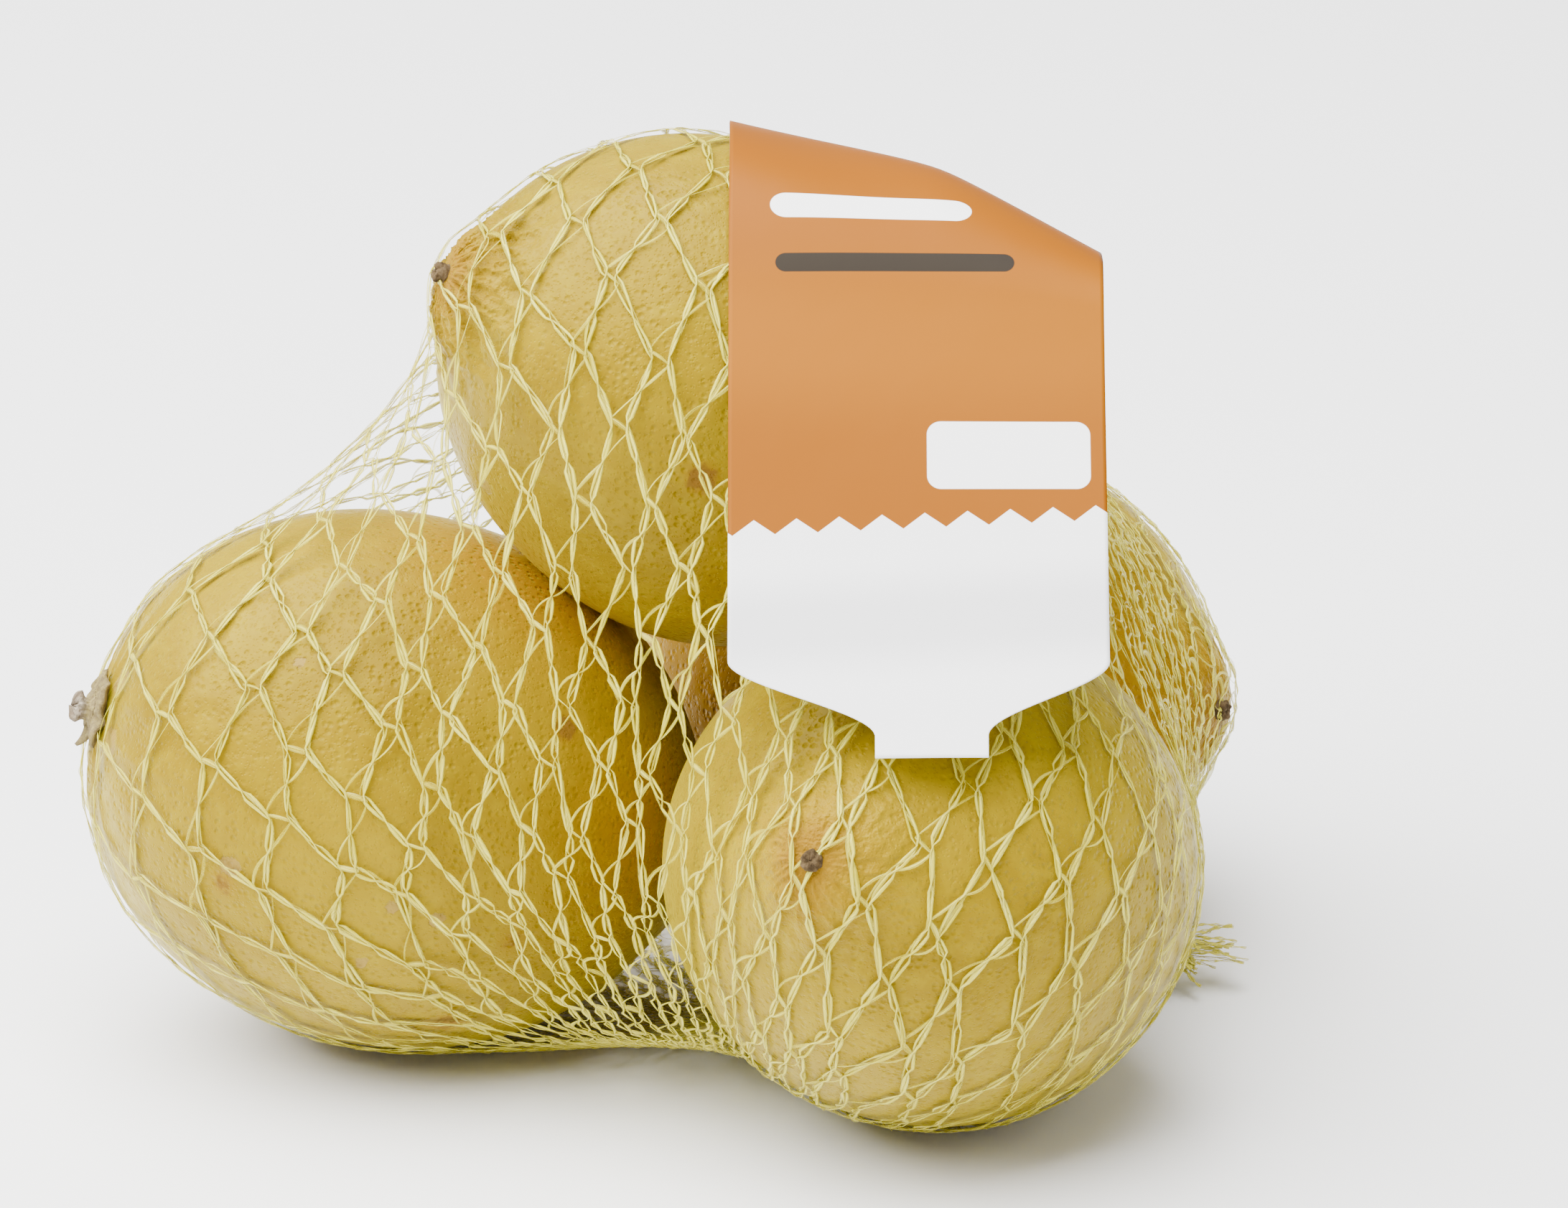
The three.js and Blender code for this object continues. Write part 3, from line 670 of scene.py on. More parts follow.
def joining_tapes(net, path, normal, first, slack_at, rng, look):
    """Three short tapes at each knot that join its two chains. Each sags from its chord as a parabola,
    sideways by more where the net is slack, and bows a little outwards."""
    row = np.arange(1, net.rows - 1)[:, None]
    column = np.arange(net.columns)[None]
    row, column = (x[(row + column) % 2 == 0] for x in np.broadcast_arrays(row, column))
    at = (first + 2 * row) * STEPS
    left, right = (column - 1) % net.columns, column
    ties = [  # from a chain and its step to a chain and its step, width, sag
        (left, at + 1, right, at + 5, 0.38, 0.7),
        (right, at - 1, left, at - 5, 0.38, 0.7),
        (left, at + 1, right, at - 1, 0.62, 0.25),
    ]
    pick = lambda grid, i: np.concatenate([grid[tie[i], tie[i + 1]] for tie in ties])
    a, b, up = pick(path, 0), pick(path, 2), pick(normal, 0)
    wide = np.repeat([tie[4] for tie in ties], len(row))
    droop = DROOP * slack_at[left, row]
    sag = np.concatenate([
        rng.uniform(-0.2, 0.8, len(row)) * tie[5] + droop * rng.uniform(0.3, 1.2, len(row)) for tie in ties
    ])
    t = np.linspace(0, 1, 7)[None, :, None]
    bow = 4 * t * (1 - t)
    down = unit(np.cross(up, b - a))
    line = a[:, None] + (b - a)[:, None] * t + down[:, None] * sag[:, None, None] * bow
    line = off_everything(line + up[:, None] * 0.22 * bow, JOIN_CLEARANCE)
    way_along = unit(np.gradient(line, axis=1))
    side = unit(np.cross(way_along, up[:, None]))
    each = lambda low, high: rng.uniform(low, high, (len(line), 1))
    angle = each(-0.8, 0.8) + each(-0.8, 0.8) * t[..., 0]
    side, up = rolled(side, np.cross(side, way_along), angle)
    width = wide[:, None] * (0.55 + 0.45 * np.sin(np.pi * t[..., 0])) * each(0.7, 1.3)
    tone = np.broadcast_to(each(0, 1), width.shape)
    return tapes("net_joins", line, side, up, width, JOIN_THICK, {"tone": tone}, look)


def knitted_net(settings, legs_look, inlay_look):
    """The whole net. Each chain is two legs that part and meet again twice in a bar, which leaves two
    narrow eyelets, and a flat inlay between them. At a knot three short tapes join the two chains."""
    net = Netting(
        settings.meshes, settings.rows, settings.bar / MM, np.degrees(settings.twist),
        settings.crowding, settings.pull, settings.slack_length, settings.rounds,
    )
    nodes, normals, slack_at = net.chains()
    shift = wandering(nodes, 8, settings.unevenness / MM)
    shift[:, 1::2] = (shift[:, :-1:2] + shift[:, 2::2]) / 2  # the middles keep their bars straight
    nodes = nodes + shift - normals * (shift * normals).sum(-1, keepdims=True)
    count = net.columns
    rng = np.random.default_rng(5)
    low_line = [NECK_LOW, *ROPE_LOW, CLIP_LOW]
    before = net_end(low_line, CLIP_LOW, TAIL_LOW, CLIP_START - 1, count, (3, 21), 3.4)[:, ::-1]
    after = net_end([NECK_TOP, *ROPE_TOP], CLIP_TOP, TAIL_TOP, 2.0, count, (4, 22), 4.2)
    whole = np.concatenate([before, nodes, after], 1)
    first = before.shape[1]
    all_normals = np.concatenate([
        np.repeat(normals[:, :1], first, 1), normals, np.repeat(normals[:, -1:], after.shape[1], 1)
    ], 1)

    path = mixed(through(whole, STEPS), straight_through(whole, STEPS), STRAIGHTNESS)
    normal = unit(through(all_normals, STEPS))
    along = unit(np.gradient(path, axis=1))
    path = clear_of_fruit(path, PATH_CLEARANCE)
    gap, out = gap_to_fruit(path)
    normal = unit(mixed(normal, out, (LAID_FLAT * (1 - smooth(gap, 0.5, 3)))[..., None]))
    side = unit(np.cross(along, normal))
    normal = np.cross(side, along)

    # how far along its eyelet each point is, and what differs from eyelet to eyelet
    samples = path.shape[1]
    eyelet = np.arange(samples) // STEPS
    phase = np.pi * ((np.arange(samples) % STEPS) / STEPS)
    each = lambda low, high: rng.uniform(low, high, (count, eyelet.max() + 1))[:, eyelet]
    in_bag = np.zeros(samples)
    in_bag[first * STEPS : (first + nodes.shape[1] - 1) * STEPS] = 1
    length = np.linalg.norm(np.diff(whole, axis=1), axis=-1)
    length = np.concatenate([length, length[:, -1:]], 1)[:, eyelet]
    slack = np.clip(1.08 - length / (net.bar / 2), 0.0, 0.6)
    open_ = np.minimum(1, 1.6 * np.sin(phase)) * (1 + 0.3 * np.cos(phase) * np.sign(each(-1, 1)))
    half = open_ * mixed(each(*EYELET_TIGHT), each(*EYELET_SLACK), slack) * (0.35 + 0.65 * in_bag)
    way = np.where(eyelet % 2 == 0, 1, -1)
    lift = 0.1 * np.cos(phase)

    def lay(offset, raise_):
        """The chains' lines, moved sideways and up."""
        return off_everything(path + side * offset[..., None] + normal * raise_[..., None], TAPE_CLEARANCE)

    def slow(low, high, every=2):
        """Numbers that change smoothly along each chain, one new value every few eyelets."""
        values = rng.uniform(low, high, (count, samples // (STEPS * every) + 2, 1))
        return through(values, STEPS * every)[:, :samples, 0]

    made = []
    for name, sign in (("net_legs_a", 1.0), ("net_legs_b", -1.0)):
        turned = rolled(side, normal, slow(-0.5, 0.5) + 0.25 * np.cos(phase))
        width = settings.leg_width / MM * mixed(0.62, 1.15, np.sin(phase)) * slow(0.75, 1.3)
        laid = lay(sign * way * half + slow(-0.08, 0.08), sign * way * lift + 0.05)
        made += tapes(name, laid, *turned, width, LEG_THICK, {"tone": slow(0, 1, 3)}, legs_look)
    turned = rolled(side, normal, slow(-0.5, 0.5))
    width = settings.inlay_width / MM * mixed(0.5, 1.0, np.sin(phase)) * slow(0.45, 1.35)
    width = width * (0.45 + 0.55 * in_bag)
    laid = lay(slow(-0.55, 0.55, 1) * in_bag, np.zeros(width.shape))
    made += tapes("net_inlay", laid, *turned, width, INLAY_THICK, {"tone": slow(0, 1, 3)}, inlay_look)
    made += joining_tapes(net, path, normal, first, slack_at, rng, inlay_look)
    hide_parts("filled_net")
    return made


# The label

LABEL = {  # millimetres and degrees; three values are those at the left edge, the corner and the right edge
    "middle_x": 15.0, "half_width": 21.3, "tongue_x": 16.4, "tongue": 6.3, "shoulder": (2.6, 11.5),
    "lean": 41.6, "foot": (-55.5, 57.0), "crest": (111.0, 107.4, 100.8), "corner_at": 0.58,
    "corner_soft": 0.06, "fold_radius": (31.8, 22.0, 9.0), "back_radius": (36.0, 36.0, 30.0),
    "back_turn": 37.0, "back": 4.0, "round_corner": 5.0,
}


def across_label(values, u):
    """A value at u across the label from those at its left edge, at the fold's corner and at its right
    edge: two straight slopes with a soft change between them."""
    t = (u + 1) / 2
    at, soft = LABEL["corner_at"], LABEL["corner_soft"]
    slopes = (values[1] - values[0]) / at, (values[2] - values[1]) / (1 - at)
    past = t - at
    return values[0] + slopes[0] * t + (slopes[1] - slopes[0]) * (past + np.hypot(past, soft)) / 2


def label_points(u, s):
    """Points of the label's middle surface and their distance along the film. u runs from -1 to 1
    across, s from 0 to 1 along it: up the leaning front, over the fold in two arcs, down the back."""
    lean = np.radians(LABEL["lean"])
    fold, back = across_label(LABEL["fold_radius"], u), across_label(LABEL["back_radius"], u)
    rise = across_label(LABEL["crest"], u) - fold * (1 - np.sin(lean)) - LABEL["foot"][1]
    stretches = [
        (rise / np.cos(lean), 0 * fold),
        (fold * (np.pi / 2 - lean), 1 / fold),
        (back * np.radians(LABEL["back_turn"]), 1 / back),
        (0 * fold + LABEL["back"], 0 * fold),
    ]
    total = sum(length for length, _ in stretches)
    y, z = LABEL["foot"][0] + 0 * s, LABEL["foot"][1] + 0 * s
    heading, left = lean + 0 * s, s * total
    for length, bend in stretches:
        step = np.clip(left, 0, length)
        turn = step * bend
        chord = np.where(bend > 0, 2 * np.sin(turn / 2) / np.maximum(bend, TINY), step)
        y = y + chord * np.sin(heading + turn / 2)
        z = z + chord * np.cos(heading + turn / 2)
        heading, left = heading + turn, left - step
    along = s * total
    shoulder = smooth(along, *LABEL["shoulder"])
    wide = mixed(LABEL["tongue"], LABEL["half_width"], shoulder)
    corner = LABEL["round_corner"]
    into = np.clip(corner - (total - along), 0, corner)
    wide = wide - corner + np.sqrt(corner**2 - into**2)
    middle = mixed(LABEL["tongue_x"], LABEL["middle_x"], shoulder)
    return np.stack([middle + u * wide, y, z], -1) + BASE, along, u * wide


def film_label(material, across=90, along=330, thick=0.16):
    """The label as a thin film: two faces on a grid and an edge round them. The film is moved along its
    normal by slow waves, and by one more near the fold."""
    u = np.linspace(-1, 1, across + 1)[None]
    s = np.linspace(0, 1, along + 1)[:, None] ** 0.93
    u, s = np.broadcast_arrays(u, s)
    d = 1e-3  # the step over which the film's direction is taken
    middle, far, wide = label_points(u, s)
    up = label_points(u, np.minimum(s + d, 1))[0] - label_points(u, np.maximum(s - d, 0))[0]
    right = label_points(u + d, s)[0] - label_points(u - d, s)[0]
    out = unit(np.cross(right, up))
    ripple = 0.16 * np.sin(far / 5.2 + 1.3 * u + 0.8) + 0.2 * np.sin(far / 11.0 - 0.6 * u + 2.2)
    fold_at, fold_reach = 78, 16
    near_fold = np.exp(-(((far - fold_at) / fold_reach) ** 2))
    ripple = ripple * 0.8 + near_fold * 0.22 * np.sin(5.0 * u + far / 6.0)
    middle = middle + out * ripple[..., None]
    faces = np.stack([middle - out * thick / 2, middle + out * thick / 2])
    rows, columns = u.shape
    index = np.arange(2 * rows * columns).reshape(2, rows, columns)
    quads = []
    for side, flip in ((1, False), (0, True)):
        a, b = index[side, :-1, :-1], index[side, :-1, 1:]
        c, e = index[side, 1:, 1:], index[side, 1:, :-1]
        quads.append(np.stack([a, e, c, b] if flip else [a, b, c, e], -1).reshape(-1, 4))
    loop = [index[:, 0, :-1], index[:, :-1, -1], index[:, -1, :0:-1], index[:, :0:-1, 0]]
    inner, outer = np.concatenate(loop, 1)
    quads.append(np.stack([np.roll(inner, -1), np.roll(outer, -1), outer, inner], -1))
    quads = np.concatenate(quads)
    triangles = np.concatenate([quads[:, [0, 1, 2]], quads[:, [0, 2, 3]]])
    back = np.stack([np.ones(far.shape), np.zeros(far.shape)])
    values = {"along": np.stack([far, far]), "across": np.stack([wide, wide]), "back": back}
    return make_piece("label_film", faces, triangles, material, values, ["label"])


# The clips


def crimped_clip(name, point, direction, material, replaced):
    """A strip of metal bent round the bundle: a rounded flat section carried round a ring, with four
    crimped dents. The section is a circle whose sine and cosine are raised to a power below 1."""
    columns, around = 24, 120
    turn = 2 * np.pi * np.arange(around)[None] / around
    section = 2 * np.pi * np.arange(columns)[:, None] / columns
    flattened = lambda wave: np.sign(wave) * np.abs(wave) ** 0.55
    wall = CLIP_WALL * 0.42 * flattened(np.cos(section))
    wide = CLIP_WIDE * 0.49 * flattened(np.sin(section))
    dent = 0.22 * np.maximum(np.cos(4 * turn + 0.4), 0) ** 3
    r = CLIP_BORE + CLIP_WALL / 2 - dent + wall
    h = CLIP_START + CLIP_WIDE / 2 + wide + 0 * turn
    points = turned_piece(point, direction, r, h)
    index = np.arange(columns * around).reshape(columns, around)
    triangles = tube_triangles(np.concatenate([index, index[:1]]))
    return make_piece(name, points, triangles, material, replaced=[replaced])


# Shader expressions


class Value:
    """A socket with a number or a colour. Arithmetic on a number adds Math nodes to its material."""

    def __init__(self, shader, socket):
        self.shader, self.socket = shader, socket

    def math(self, operation, *inputs, clamp=False):
        settings = {"operation": operation, "use_clamp": clamp}
        return self.shader.node("Math", settings, dict(enumerate(inputs)))

    def __add__(self, other):
        return self.math("ADD", self, other)

    def __sub__(self, other):
        return self.math("SUBTRACT", self, other)

    def __rsub__(self, other):
        return self.math("SUBTRACT", other, self)

    def __mul__(self, other):
        return self.math("MULTIPLY", self, other)

    def __truediv__(self, other):
        return self.math("DIVIDE", self, other)

    def __pow__(self, other):
        return self.math("POWER", self, other)

    def __gt__(self, other):
        return self.math("GREATER_THAN", self, other)

    __radd__, __rmul__ = __add__, __mul__

    def abs(self):
        return self.math("ABSOLUTE", self)

    def clamp(self):
        return self.math("ADD", self, 0.0, clamp=True)

    def positive(self):
        return self.math("MAXIMUM", self, 0.0)

    def fraction(self):
        return self.math("FRACT", self)

    def smooth(self, low, high, start=0.0, end=1.0):
        """Smoothstep from start, at low, to end, at high."""
        inputs = {0: self, 1: low, 2: high, 3: start, 4: end}
        return self.shader.node("MapRange", {"interpolation_type": "SMOOTHSTEP"}, inputs)


class Shader:
    """A material under construction. node() adds any node, sets its settings first and then its inputs,
    and gives back one of its outputs."""

    def __init__(self, name):
        self.material = bpy.data.materials.new(name)
        self.material.use_nodes = True
        self.tree = self.material.node_tree
        self.surface = self.tree.nodes["Principled BSDF"]

    def node(self, kind, settings=None, inputs=None, output=0):
        """The given output of a new node, with its settings and inputs by name or number."""
        node = self.tree.nodes.new("ShaderNode" + kind)
        for key, value in (settings or {}).items():
            setattr(node, key, value)
        for key, value in (inputs or {}).items():
            self.put(node.inputs[key], value)
        return Value(self, node.outputs[output])

    def put(self, socket, value):
        """Links a value to an input, or sets a plain number or colour there."""
        if isinstance(value, Value):
            self.tree.links.new(value.socket, socket)
        else:
            socket.default_value = value

    def set(self, **inputs):
        """Sets the Principled shader's inputs, named with underscores for spaces."""
        for key, value in inputs.items():
            self.put(self.surface.inputs[key.replace("_", " ")], value)

    def place(self):
        """The object's own coordinates, in metres."""
        return self.node("TexCoord", output=3)

    def value(self, name):
        """The number that the mesh carries under a name at each point."""
        return self.node("Attribute", {"attribute_name": name}, output=2)

    def noise(self, scale, detail=2.0, roughness=0.5, at=None):
        inputs = {"Vector": at or self.place(), "Scale": scale, "Detail": detail, "Roughness": roughness}
        return self.node("TexNoise", {}, inputs)

    def cells(self, scale, output=0, randomness=1.0):
        inputs = {"Vector": self.place(), "Scale": scale, "Randomness": randomness}
        return self.node("TexVoronoi", {}, inputs, output)

    def mix(self, factor, a, b):
        """Colour a where factor is 0 and b where it is 1."""
        a, b = (x if isinstance(x, Value) else (*x, 1) for x in (a, b))
        return self.node("Mix", {"data_type": "RGBA"}, {0: factor, 6: a, 7: b}, 2)

    def layers(self, colour, *layers):
        """A colour with others laid over it in turn, each after how strongly it covers."""
        for factor, over in layers:
            colour = self.mix(factor, colour, over)
        return colour

    def bump(self, height):
        """A normal from a height in metres."""
        self.set(Normal=self.node("Bump", {}, {"Height": height, "Distance": 1.0, "Strength": 1.0}))


# The finishes


def peel_look(settings):
    """Waxy peel: pits of oil glands, deeper in colour and darkened further by painted shade, between paler
    ridges, wide patches, dark specks, brown spots, tan scars, a browned, wrinkled collar round the
    blossom end, and painted warm bounce light where lemons touch."""
    m = Shader("lemon_peel")
    tip, stem, mark, scar, near = (m.value(name) for name in ("tip", "stem", "mark", "scar", "near"))
    pores = 1 / settings.pore_spacing
    patches, grain = m.noise(38, 3.0, 0.55), m.noise(420, 3.0, 0.6)
    uneven = m.noise(60, 2.0).smooth(0.35, 0.65, 0.45, 1.0)
    pit = m.cells(pores, randomness=0.8).smooth(0.05, 0.48, 1.0, 0.0) * uneven
    small = m.cells(pores * 2.3).smooth(0.1, 0.4, 1.0, 0.0)
    ends = m.noise(110, 3.0, 0.6)
    near_tip = (tip + ends * 0.16).smooth(0.14, 0.42, 1.0, 0.0)
    collar = (tip + ends * 0.2).smooth(0.12, 0.26, 1.0, 0.0)
    near_stem = (stem + ends * 0.18).smooth(0.14, 0.3, 1.0, 0.0)
    rough_edge = (m.noise(900, 3.0, 0.7) - 0.5) * 0.9
    ragged = (mark + rough_edge).smooth(0.35, 0.6)
    scarred = (scar + rough_edge * 0.9).smooth(0.4, 0.55)
    speck_share, speck_scale = 0.86, 420
    specks = (m.cells(speck_scale, 1) > speck_share) * m.noise(24, 1.0).smooth(0.5, 0.62)
    specks = m.cells(speck_scale).smooth(0.05, 0.1, 1.0, 0.0) * specks
    colour = m.layers(
        m.mix(patches.smooth(0.3, 0.7), settings.peel_deep, settings.peel_pale),
        (grain.smooth(0.4, 0.75, 0.0, 0.3), settings.peel_ridges),
        # the pits' own deeper colour, darkened further by painted shade in the hollows
        (pit * 0.2, settings.peel_pits),
        (near * 0.85, (0.42, 0.15, 0.0)),  # painted warm bounce light where lemons touch
        (near_tip * 0.4, (0.24, 0.11, 0.002)),
        (collar * 0.65, (0.2, 0.085, 0.006)),
        (near_stem * 0.3, (0.2, 0.115, 0.004)),
        (mark.smooth(0.05, 0.7) * 0.5, (0.22, 0.095, 0.001)),  # the brown spots' soft edge
        (ragged * 0.8, (0.14, 0.06, 0.01)),  # and their middle
        (scarred * 0.7, (0.27, 0.17, 0.045)),
        (specks * 0.8, (0.08, 0.035, 0.008)),
    )
    m.set(Base_Color=colour, Roughness=0.34 + pit * 0.1 + ragged * 0.3 + collar * 0.12)
    m.set(Subsurface_Weight=0.08, Subsurface_Radius=(1.0, 0.5, 0.05), Subsurface_Scale=0.001)
    m.set(IOR=1.27, Specular_Tint=(1.0, 0.95, 0.3, 1.0))
    m.set(Sheen_Weight=0.3, Sheen_Roughness=0.5, Sheen_Tint=(1.0, 0.88, 0.05, 1.0))
    swell = m.noise(230, 2.0, 0.5) * 0.0003
    wrinkle = m.noise(520, 3.0, 0.6) * 0.0007 * (tip.smooth(0.16, 0.4, 1.0, 0.0) + 0.06)
    m.bump(swell + wrinkle + grain * 0.00005 - pit * 0.00018 - small * 0.00005 - scarred * 0.0001)
    return m.material


def tape_look(name, settings, alpha):
    """Drawn plastic tape: pale yellow, glossy and a little clear, with pale streaks along it, partly milky
    plastic and partly painted sheen.
    """
    m = Shader(name)
    tone = m.value("tone")
    place = m.node("CombineXYZ", {}, {0: m.value("edge") * 2.4 + tone * 60.0, 1: m.value("run") * 0.14})
    streaks = m.noise(1.6, 2.0, 0.6, place)
    colour = m.mix(tone, settings.tape_deep, settings.tape_pale)
    # pale, more opaque streaks along the tape: partly milky plastic, partly painted sheen
    colour = m.mix(streaks.smooth(0.5, 0.72) * 0.6, colour, (0.9, 0.86, 0.24))
    m.set(Base_Color=colour, Roughness=0.32, Alpha=(tone * 0.2 + alpha + (streaks - 0.5) * 0.9).clamp())
    m.set(Subsurface_Weight=0.3, Subsurface_Radius=(1.0, 1.0, 0.3), Subsurface_Scale=0.0006)
    m.set(Specular_Tint=(1.0, 0.95, 0.6, 1.0))
    m.bump(streaks * 0.00005)
    return m.material


PLAIN_SHAPES = [  # on the label's field: place, half size, corner and colour
    (-5.1, 68.2, 11.5, 1.9, 1.9, (0.9, 0.9, 0.9)),
    (-2.4, 60.2, 13.6, 1.2, 1.2, (0.012, 0.01, 0.01)),
    (10.3, 36.4, 9.2, 4.1, 1.6, (0.9, 0.9, 0.9)),
]


def film_look(settings):
    """Satin film: an orange field down to a toothed border, light grey below it, and plain shapes in
    the field. A painted highlight band lies across the orange where the film bends into the fold,
    painted shade darkens the orange towards the border, and a band of painted shade lies across the
    grey. Distances are in millimetres along and across the film."""
    m = Shader("label_film")
    along, across, back = m.value("along"), m.value("across"), m.value("back")
    pitch, deep_tooth = settings.tooth_pitch / MM, settings.tooth_depth / MM
    past_edge = 100.0  # keeps the saw's measure above zero
    saw = (((across + past_edge) / pitch).fraction() - 0.5).abs() * 2.0
    border_slope = 0.045
    border = along - saw * deep_tooth - across * border_slope - settings.border / MM
    field = border.smooth(-0.04, 0.04)
    glow_at, field_shade_at, shade_at, shade_slope = 51.0, 29.0, 16.5, 0.05
    # painted highlight where the film bends into the fold, and painted shade on the orange towards the
    # border
    glow = (along - glow_at).abs().smooth(2.0, 13.0, 1.0, 0.0)
    low = (along - field_shade_at).smooth(0.0, 14.0, 0.3, 0.0)
    orange = m.layers(settings.field, (glow * 0.75, settings.field_highlight), (low, (0.2, 0.056, 0.0)))
    shade = (along - shade_at - across * shade_slope).abs().smooth(1.5, 8.0, 1.0, 0.0)
    grey = m.mix(shade * 0.9, settings.foot, (0.66, 0.66, 0.67))

    def plate(x, y, half_x, half_y, corner):
        """1 inside a rounded rectangle of the film, 0 outside."""
        dx, dy = (across - x).abs() - (half_x - corner), (along - y).abs() - (half_y - corner)
        outside, soft = (dx.positive() ** 2.0 + dy.positive() ** 2.0) ** 0.5, 0.06
        return outside.smooth(corner - soft, corner + soft, 1.0, 0.0)

    plates = [(plate(*shape), colour) for *shape, colour in PLAIN_SHAPES]
    colour = m.layers(grey, (field, orange), *plates, (back, (0.84, 0.83, 0.81)))
    m.set(Base_Color=colour, Roughness=0.42, IOR=1.22, Specular_Tint=(1.0, 0.8, 0.5, 1.0))
    m.bump(m.noise(90, 2.0, 0.5) * 0.00012 + m.noise(1500, 1.0) * 0.000004)
    return m.material


def metal_look():
    """Rolled aluminium with fine brushed lines round the strip and dull patches."""
    m = Shader("clip_metal")
    lines = m.noise(2600, 2.0, 0.6)
    dull = m.noise(500, 2.0)
    m.set(Base_Color=m.mix(dull, (0.62, 0.63, 0.65), (0.8, 0.8, 0.82)), Metallic=1.0)
    m.set(Roughness=lines * 0.2 + dull * 0.12 + 0.2)
    m.bump(lines * 0.00002)
    return m.material


def stem_look():
    """Dry woody star and peg: green-brown lobes, a grey corky peg, dark in the cracks."""
    m = Shader("stem_wood")
    height = m.value("height")
    cork, blotch, fleck = m.noise(1500, 4.0, 0.7), m.noise(380, 3.0, 0.6), m.noise(4200, 2.0, 0.7)
    lobes = m.mix(blotch.smooth(0.35, 0.65), (0.17, 0.125, 0.03), (0.27, 0.21, 0.07))
    peg = m.mix(blotch.smooth(0.4, 0.7), (0.2, 0.15, 0.09), (0.36, 0.31, 0.23))
    colour = m.layers(
        lobes,
        (height.smooth(0.45, 0.75), peg),
        (cork.smooth(0.42, 0.58, 0.5, 0.0), (0.08, 0.045, 0.02)),  # the cracks
        (fleck.smooth(0.6, 0.75) * 0.4, (0.4, 0.34, 0.25)),
    )
    m.set(Base_Color=colour, Roughness=0.82)
    m.bump(cork * 0.0003 + fleck * 0.00006)
    return m.material


def peg_look():
    """The dry peg at a blossom end: grey-brown, pitted."""
    m = Shader("blossom_peg")
    cork, blotch = m.noise(2600, 4.0, 0.7), m.noise(900, 3.0, 0.6)
    colour = m.mix(blotch.smooth(0.35, 0.65), (0.045, 0.027, 0.01), (0.12, 0.078, 0.035))
    colour = m.mix(cork.smooth(0.6, 0.75) * 0.5, colour, (0.2, 0.145, 0.08))
    m.set(Base_Color=colour, Roughness=0.8, IOR=1.25)
    m.bump(cork * 0.00025)
    return m.material


def floor_look(settings):
    """A matt pale floor."""
    m = Shader("pale_floor")
    m.set(Base_Color=(*settings.floor, 1), Roughness=0.6)
    return m.material


# What a user can change


def colour_property(name, description, default):
    return bpy.props.FloatVectorProperty(
        name=name, description=description, default=default, subtype="COLOR", min=0, max=1
    )


def length_property(name, description, default):
    return bpy.props.FloatProperty(
        name=name, description=description, default=default, unit="LENGTH", subtype="DISTANCE",
        min=0.00001, precision=5,
    )


def angle_property(name, description, degrees):
    default = np.radians(degrees)
    return bpy.props.FloatProperty(name=name, description=description, default=default, unit="ROTATION")


def number_property(name, description, default, lowest=0, **unit):
    return bpy.props.FloatProperty(name=name, description=description, default=default, min=lowest, **unit)


def count_property(name, description, default, lowest):
    return bpy.props.IntProperty(name=name, description=description, default=default, min=lowest)


class LemonSettings(bpy.types.PropertyGroup):
    """The lemons' peel."""

    peel_deep: colour_property("Deep peel", "Colour of the peel's deeper patches", (0.186, 0.113, 0.0))
    peel_pale: colour_property("Pale peel", "Colour of the peel's paler patches", (0.258, 0.17, 0.0))
    peel_ridges: colour_property("Ridges", "Colour of the ridges between the pits", (0.335, 0.25, 0.0))
    peel_pits: colour_property("Pits", "Colour of the oil glands' pits", (0.145, 0.088, 0.0))
    pore_spacing: length_property("Pore spacing", "Distance between the oil glands' pits", 0.001)


class NetSettings(bpy.types.PropertyGroup):
    """The knitted net."""

    meshes: count_property("Meshes round", "Meshes round the tube", 47, 6)
    rows: count_property("Rows", "Rows of knots from neck to neck", 32, 9)
    bar: length_property("Bar", "Length of a bar between two knots", 0.008209)
    twist: angle_property("Twist", "Turn of the tube from end to end", -6.2)
    crowding: number_property("Crowding", "How uneven the columns stand", -0.044, -1)
    pull: number_property("Pull", "How hard slack bars draw in", 0.5)
    slack_length: number_property("Slack length", "Share of a bar's length to which it draws in", 0.272)
    rounds: count_property("Rounds", "Rounds over which the net settles", 80, 1)
    unevenness: length_property("Unevenness", "How far the knots stray from their even places", 0.0006)
    leg_width: length_property("Leg width", "Width of the tapes that form the eyelets", 0.00037)
    inlay_width: length_property("Inlay width", "Width of the flat tape between them", 0.00042)
    tape_deep: colour_property("Deep tape", "Colour of the deeper tapes", (0.64, 0.54, 0.015))
    tape_pale: colour_property("Pale tape", "Colour of the paler tapes", (0.78, 0.7, 0.06))


class LabelSettings(bpy.types.PropertyGroup):
    """The film label."""

    field: colour_property("Field", "Colour of the label's upper field", (0.225, 0.067, 0.0))
    # the colour of the painted highlight band across the orange field
    field_highlight: colour_property("Field glow", "Colour of the field's lighter band", (0.27, 0.088, 0.0))
    foot: colour_property("Foot", "Colour of the label's lower part", (0.86, 0.86, 0.865))
    border: length_property("Border", "Distance from the tongue's end to the toothed border", 0.0276)
    tooth_pitch: length_property("Tooth pitch", "Width of a tooth of the border", 0.0048)
    tooth_depth: length_property("Tooth depth", "Height of a tooth of the border", 0.0018)


class StageSettings(bpy.types.PropertyGroup):
    """The floor, the lights and the camera."""

    floor: colour_property("Floor", "Colour of the floor", (0.92, 0.92, 0.92))
    sky: number_property("Sky", "Strength of the even light", 0.45)
    key: number_property("Key", "Power of the key light", 106.0, unit="POWER")
    fill: number_property("Fill", "Power of the fill light", 2.0, unit="POWER")
    elevation: angle_property("Elevation", "The camera's height above the horizon", 20)
    distance: length_property("Distance", "From the camera to the net's middle", 0.9)


# Operators


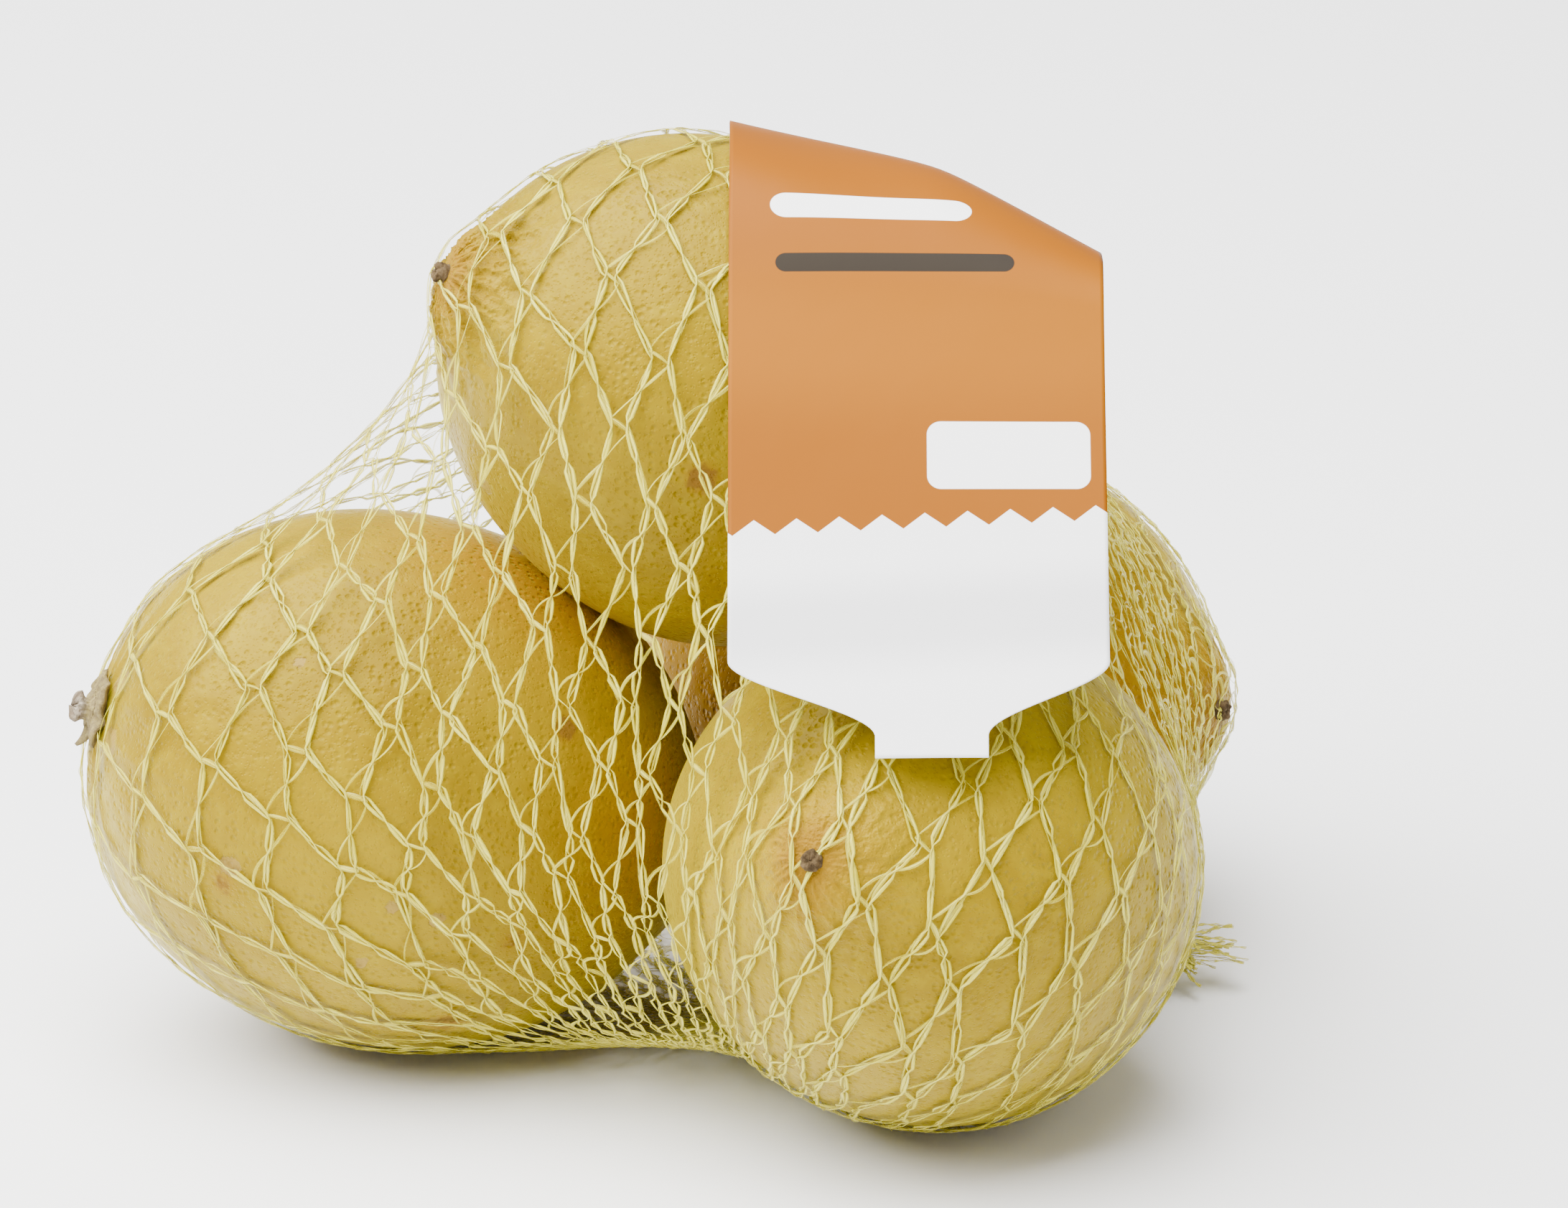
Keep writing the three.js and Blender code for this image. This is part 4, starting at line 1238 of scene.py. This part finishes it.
class LEMONNET_OT_lemons(bpy.types.Operator):
    """Build the four lemons"""

    bl_idname = "lemonnet.lemons"
    bl_label = "Lemons"

    def execute(self, context):
        look = peel_look(context.scene.lemon_settings)
        for fruit in FRUIT:
            lemon(fruit, look)
        return {"FINISHED"}


class LEMONNET_OT_ends(bpy.types.Operator):
    """Build the stem stars and the blossom ends' pegs"""

    bl_idname = "lemonnet.ends"
    bl_label = "Stems and pegs"

    def execute(self, context):
        wood, dry = stem_look(), peg_look()
        left, front, back, top = FRUIT
        stem_star(left, wood, replaced=["stem_button"])
        stem_star(top, wood, radius=3.4, peg=(1.3, 0.6))  # a smaller star with its peg broken off
        for fruit in (front, top, back):
            style_peg(fruit, dry)
        return {"FINISHED"}


class LEMONNET_OT_net(bpy.types.Operator):
    """Lay the net over the lemons and knit its tapes"""

    bl_idname = "lemonnet.net"
    bl_label = "Net"

    def execute(self, context):
        settings = context.scene.net_settings
        legs = tape_look("net_legs", settings, LEG_COVER)
        knitted_net(settings, legs, tape_look("net_inlay", settings, INLAY_COVER))
        return {"FINISHED"}


class LEMONNET_OT_label(bpy.types.Operator):
    """Build the film label"""

    bl_idname = "lemonnet.label"
    bl_label = "Label"

    def execute(self, context):
        settings = context.scene.label_settings
        film_label(film_look(settings))
        return {"FINISHED"}


class LEMONNET_OT_clips(bpy.types.Operator):
    """Build the two metal clips"""

    bl_idname = "lemonnet.clips"
    bl_label = "Clips"

    def execute(self, context):
        look = metal_look()
        crimped_clip("clip_top", CLIP_TOP, TAIL_TOP, look, "top_clip")
        crimped_clip("clip_low", CLIP_LOW, TAIL_LOW, look, "low_clip")
        return {"FINISHED"}


def area_light(name, target, offset, size, power):
    """A white square light at an offset in metres from a target, turned towards it."""
    light = bpy.data.lights.new(name, "AREA")
    light.size, light.energy = size, power
    lamp = bpy.data.objects.new(name, light)
    lamp.location = target + offset
    lamp.rotation_euler = Vector(-offset).to_track_quat("-Z", "Y").to_euler()
    bpy.context.scene.collection.objects.link(lamp)


class LEMONNET_OT_stage(bpy.types.Operator):
    """Build the floor, the lights and the camera"""

    bl_idname = "lemonnet.stage"
    bl_label = "Stage"

    def execute(self, context):
        settings = context.scene.stage_settings
        reach = 4.0  # of the floor from the middle, in metres
        corners = [(-reach, -reach, 0), (reach, -reach, 0), (reach, reach, 0), (-reach, reach, 0)]
        mesh = bpy.data.meshes.new("floor")
        mesh.from_pydata(corners, [], [(0, 1, 2, 3)])
        mesh.materials.append(floor_look(settings))
        floor = bpy.data.objects.new("floor", mesh)
        context.scene.collection.objects.link(floor)
        world = bpy.data.worlds.new("studio")
        world.use_nodes = True
        background = world.node_tree.nodes["Background"].inputs
        background["Color"].default_value = (1, 1, 1, 1)
        background["Strength"].default_value = settings.sky
        context.scene.world = world
        middle_height = 55
        target = (BASE + vec(0, 0, middle_height)) * MM
        area_light("key", target, vec(-0.42, -0.15, 1.03), 1.6, settings.key)  # from above, at the left
        area_light("fill", target, vec(0.7, -0.6, 0.5), 0.8, settings.fill)  # from the right, in front
        camera = bpy.data.cameras.new("camera")
        camera.lens, camera.sensor_width = 175.5, 36
        camera.clip_start, camera.clip_end = 0.01, 20
        holder = bpy.data.objects.new("camera", camera)
        e = settings.elevation
        back = vec(0, -np.cos(e), np.sin(e))
        holder.location = target + back * settings.distance
        holder.rotation_euler = (np.pi / 2 - e, 0, 0)
        context.scene.collection.objects.link(holder)
        context.scene.camera = holder
        return {"FINISHED"}


OPERATORS = (
    LEMONNET_OT_lemons, LEMONNET_OT_ends, LEMONNET_OT_net,
    LEMONNET_OT_label, LEMONNET_OT_clips, LEMONNET_OT_stage,
)
GROUPS = {
    "lemon_settings": LemonSettings,
    "net_settings": NetSettings,
    "label_settings": LabelSettings,
    "stage_settings": StageSettings,
}


class LEMONNET_PT_panel(bpy.types.Panel):
    """Lists the settings and the build steps"""

    bl_idname = "LEMONNET_PT_panel"
    bl_label = "Net of lemons"
    bl_space_type = "VIEW_3D"
    bl_region_type = "UI"
    bl_category = "Lemons"

    def draw(self, context):
        for key, group in GROUPS.items():
            box = self.layout.box()
            for name in group.__annotations__:
                box.prop(getattr(context.scene, key), name)
        for operator in OPERATORS:
            self.layout.operator(operator.bl_idname)


def register():
    for item in (*GROUPS.values(), *OPERATORS, LEMONNET_PT_panel):
        bpy.utils.register_class(item)
    for key, group in GROUPS.items():
        setattr(bpy.types.Scene, key, bpy.props.PointerProperty(type=group))


def unregister():
    for key in GROUPS:
        delattr(bpy.types.Scene, key)
    for item in reversed((*GROUPS.values(), *OPERATORS, LEMONNET_PT_panel)):
        bpy.utils.unregister_class(item)


def main():
    register()
    for step in (
        bpy.ops.lemonnet.lemons, bpy.ops.lemonnet.ends, bpy.ops.lemonnet.net,
        bpy.ops.lemonnet.label, bpy.ops.lemonnet.clips, bpy.ops.lemonnet.stage,
    ):
        step()


if __name__ == "__main__":
    main()
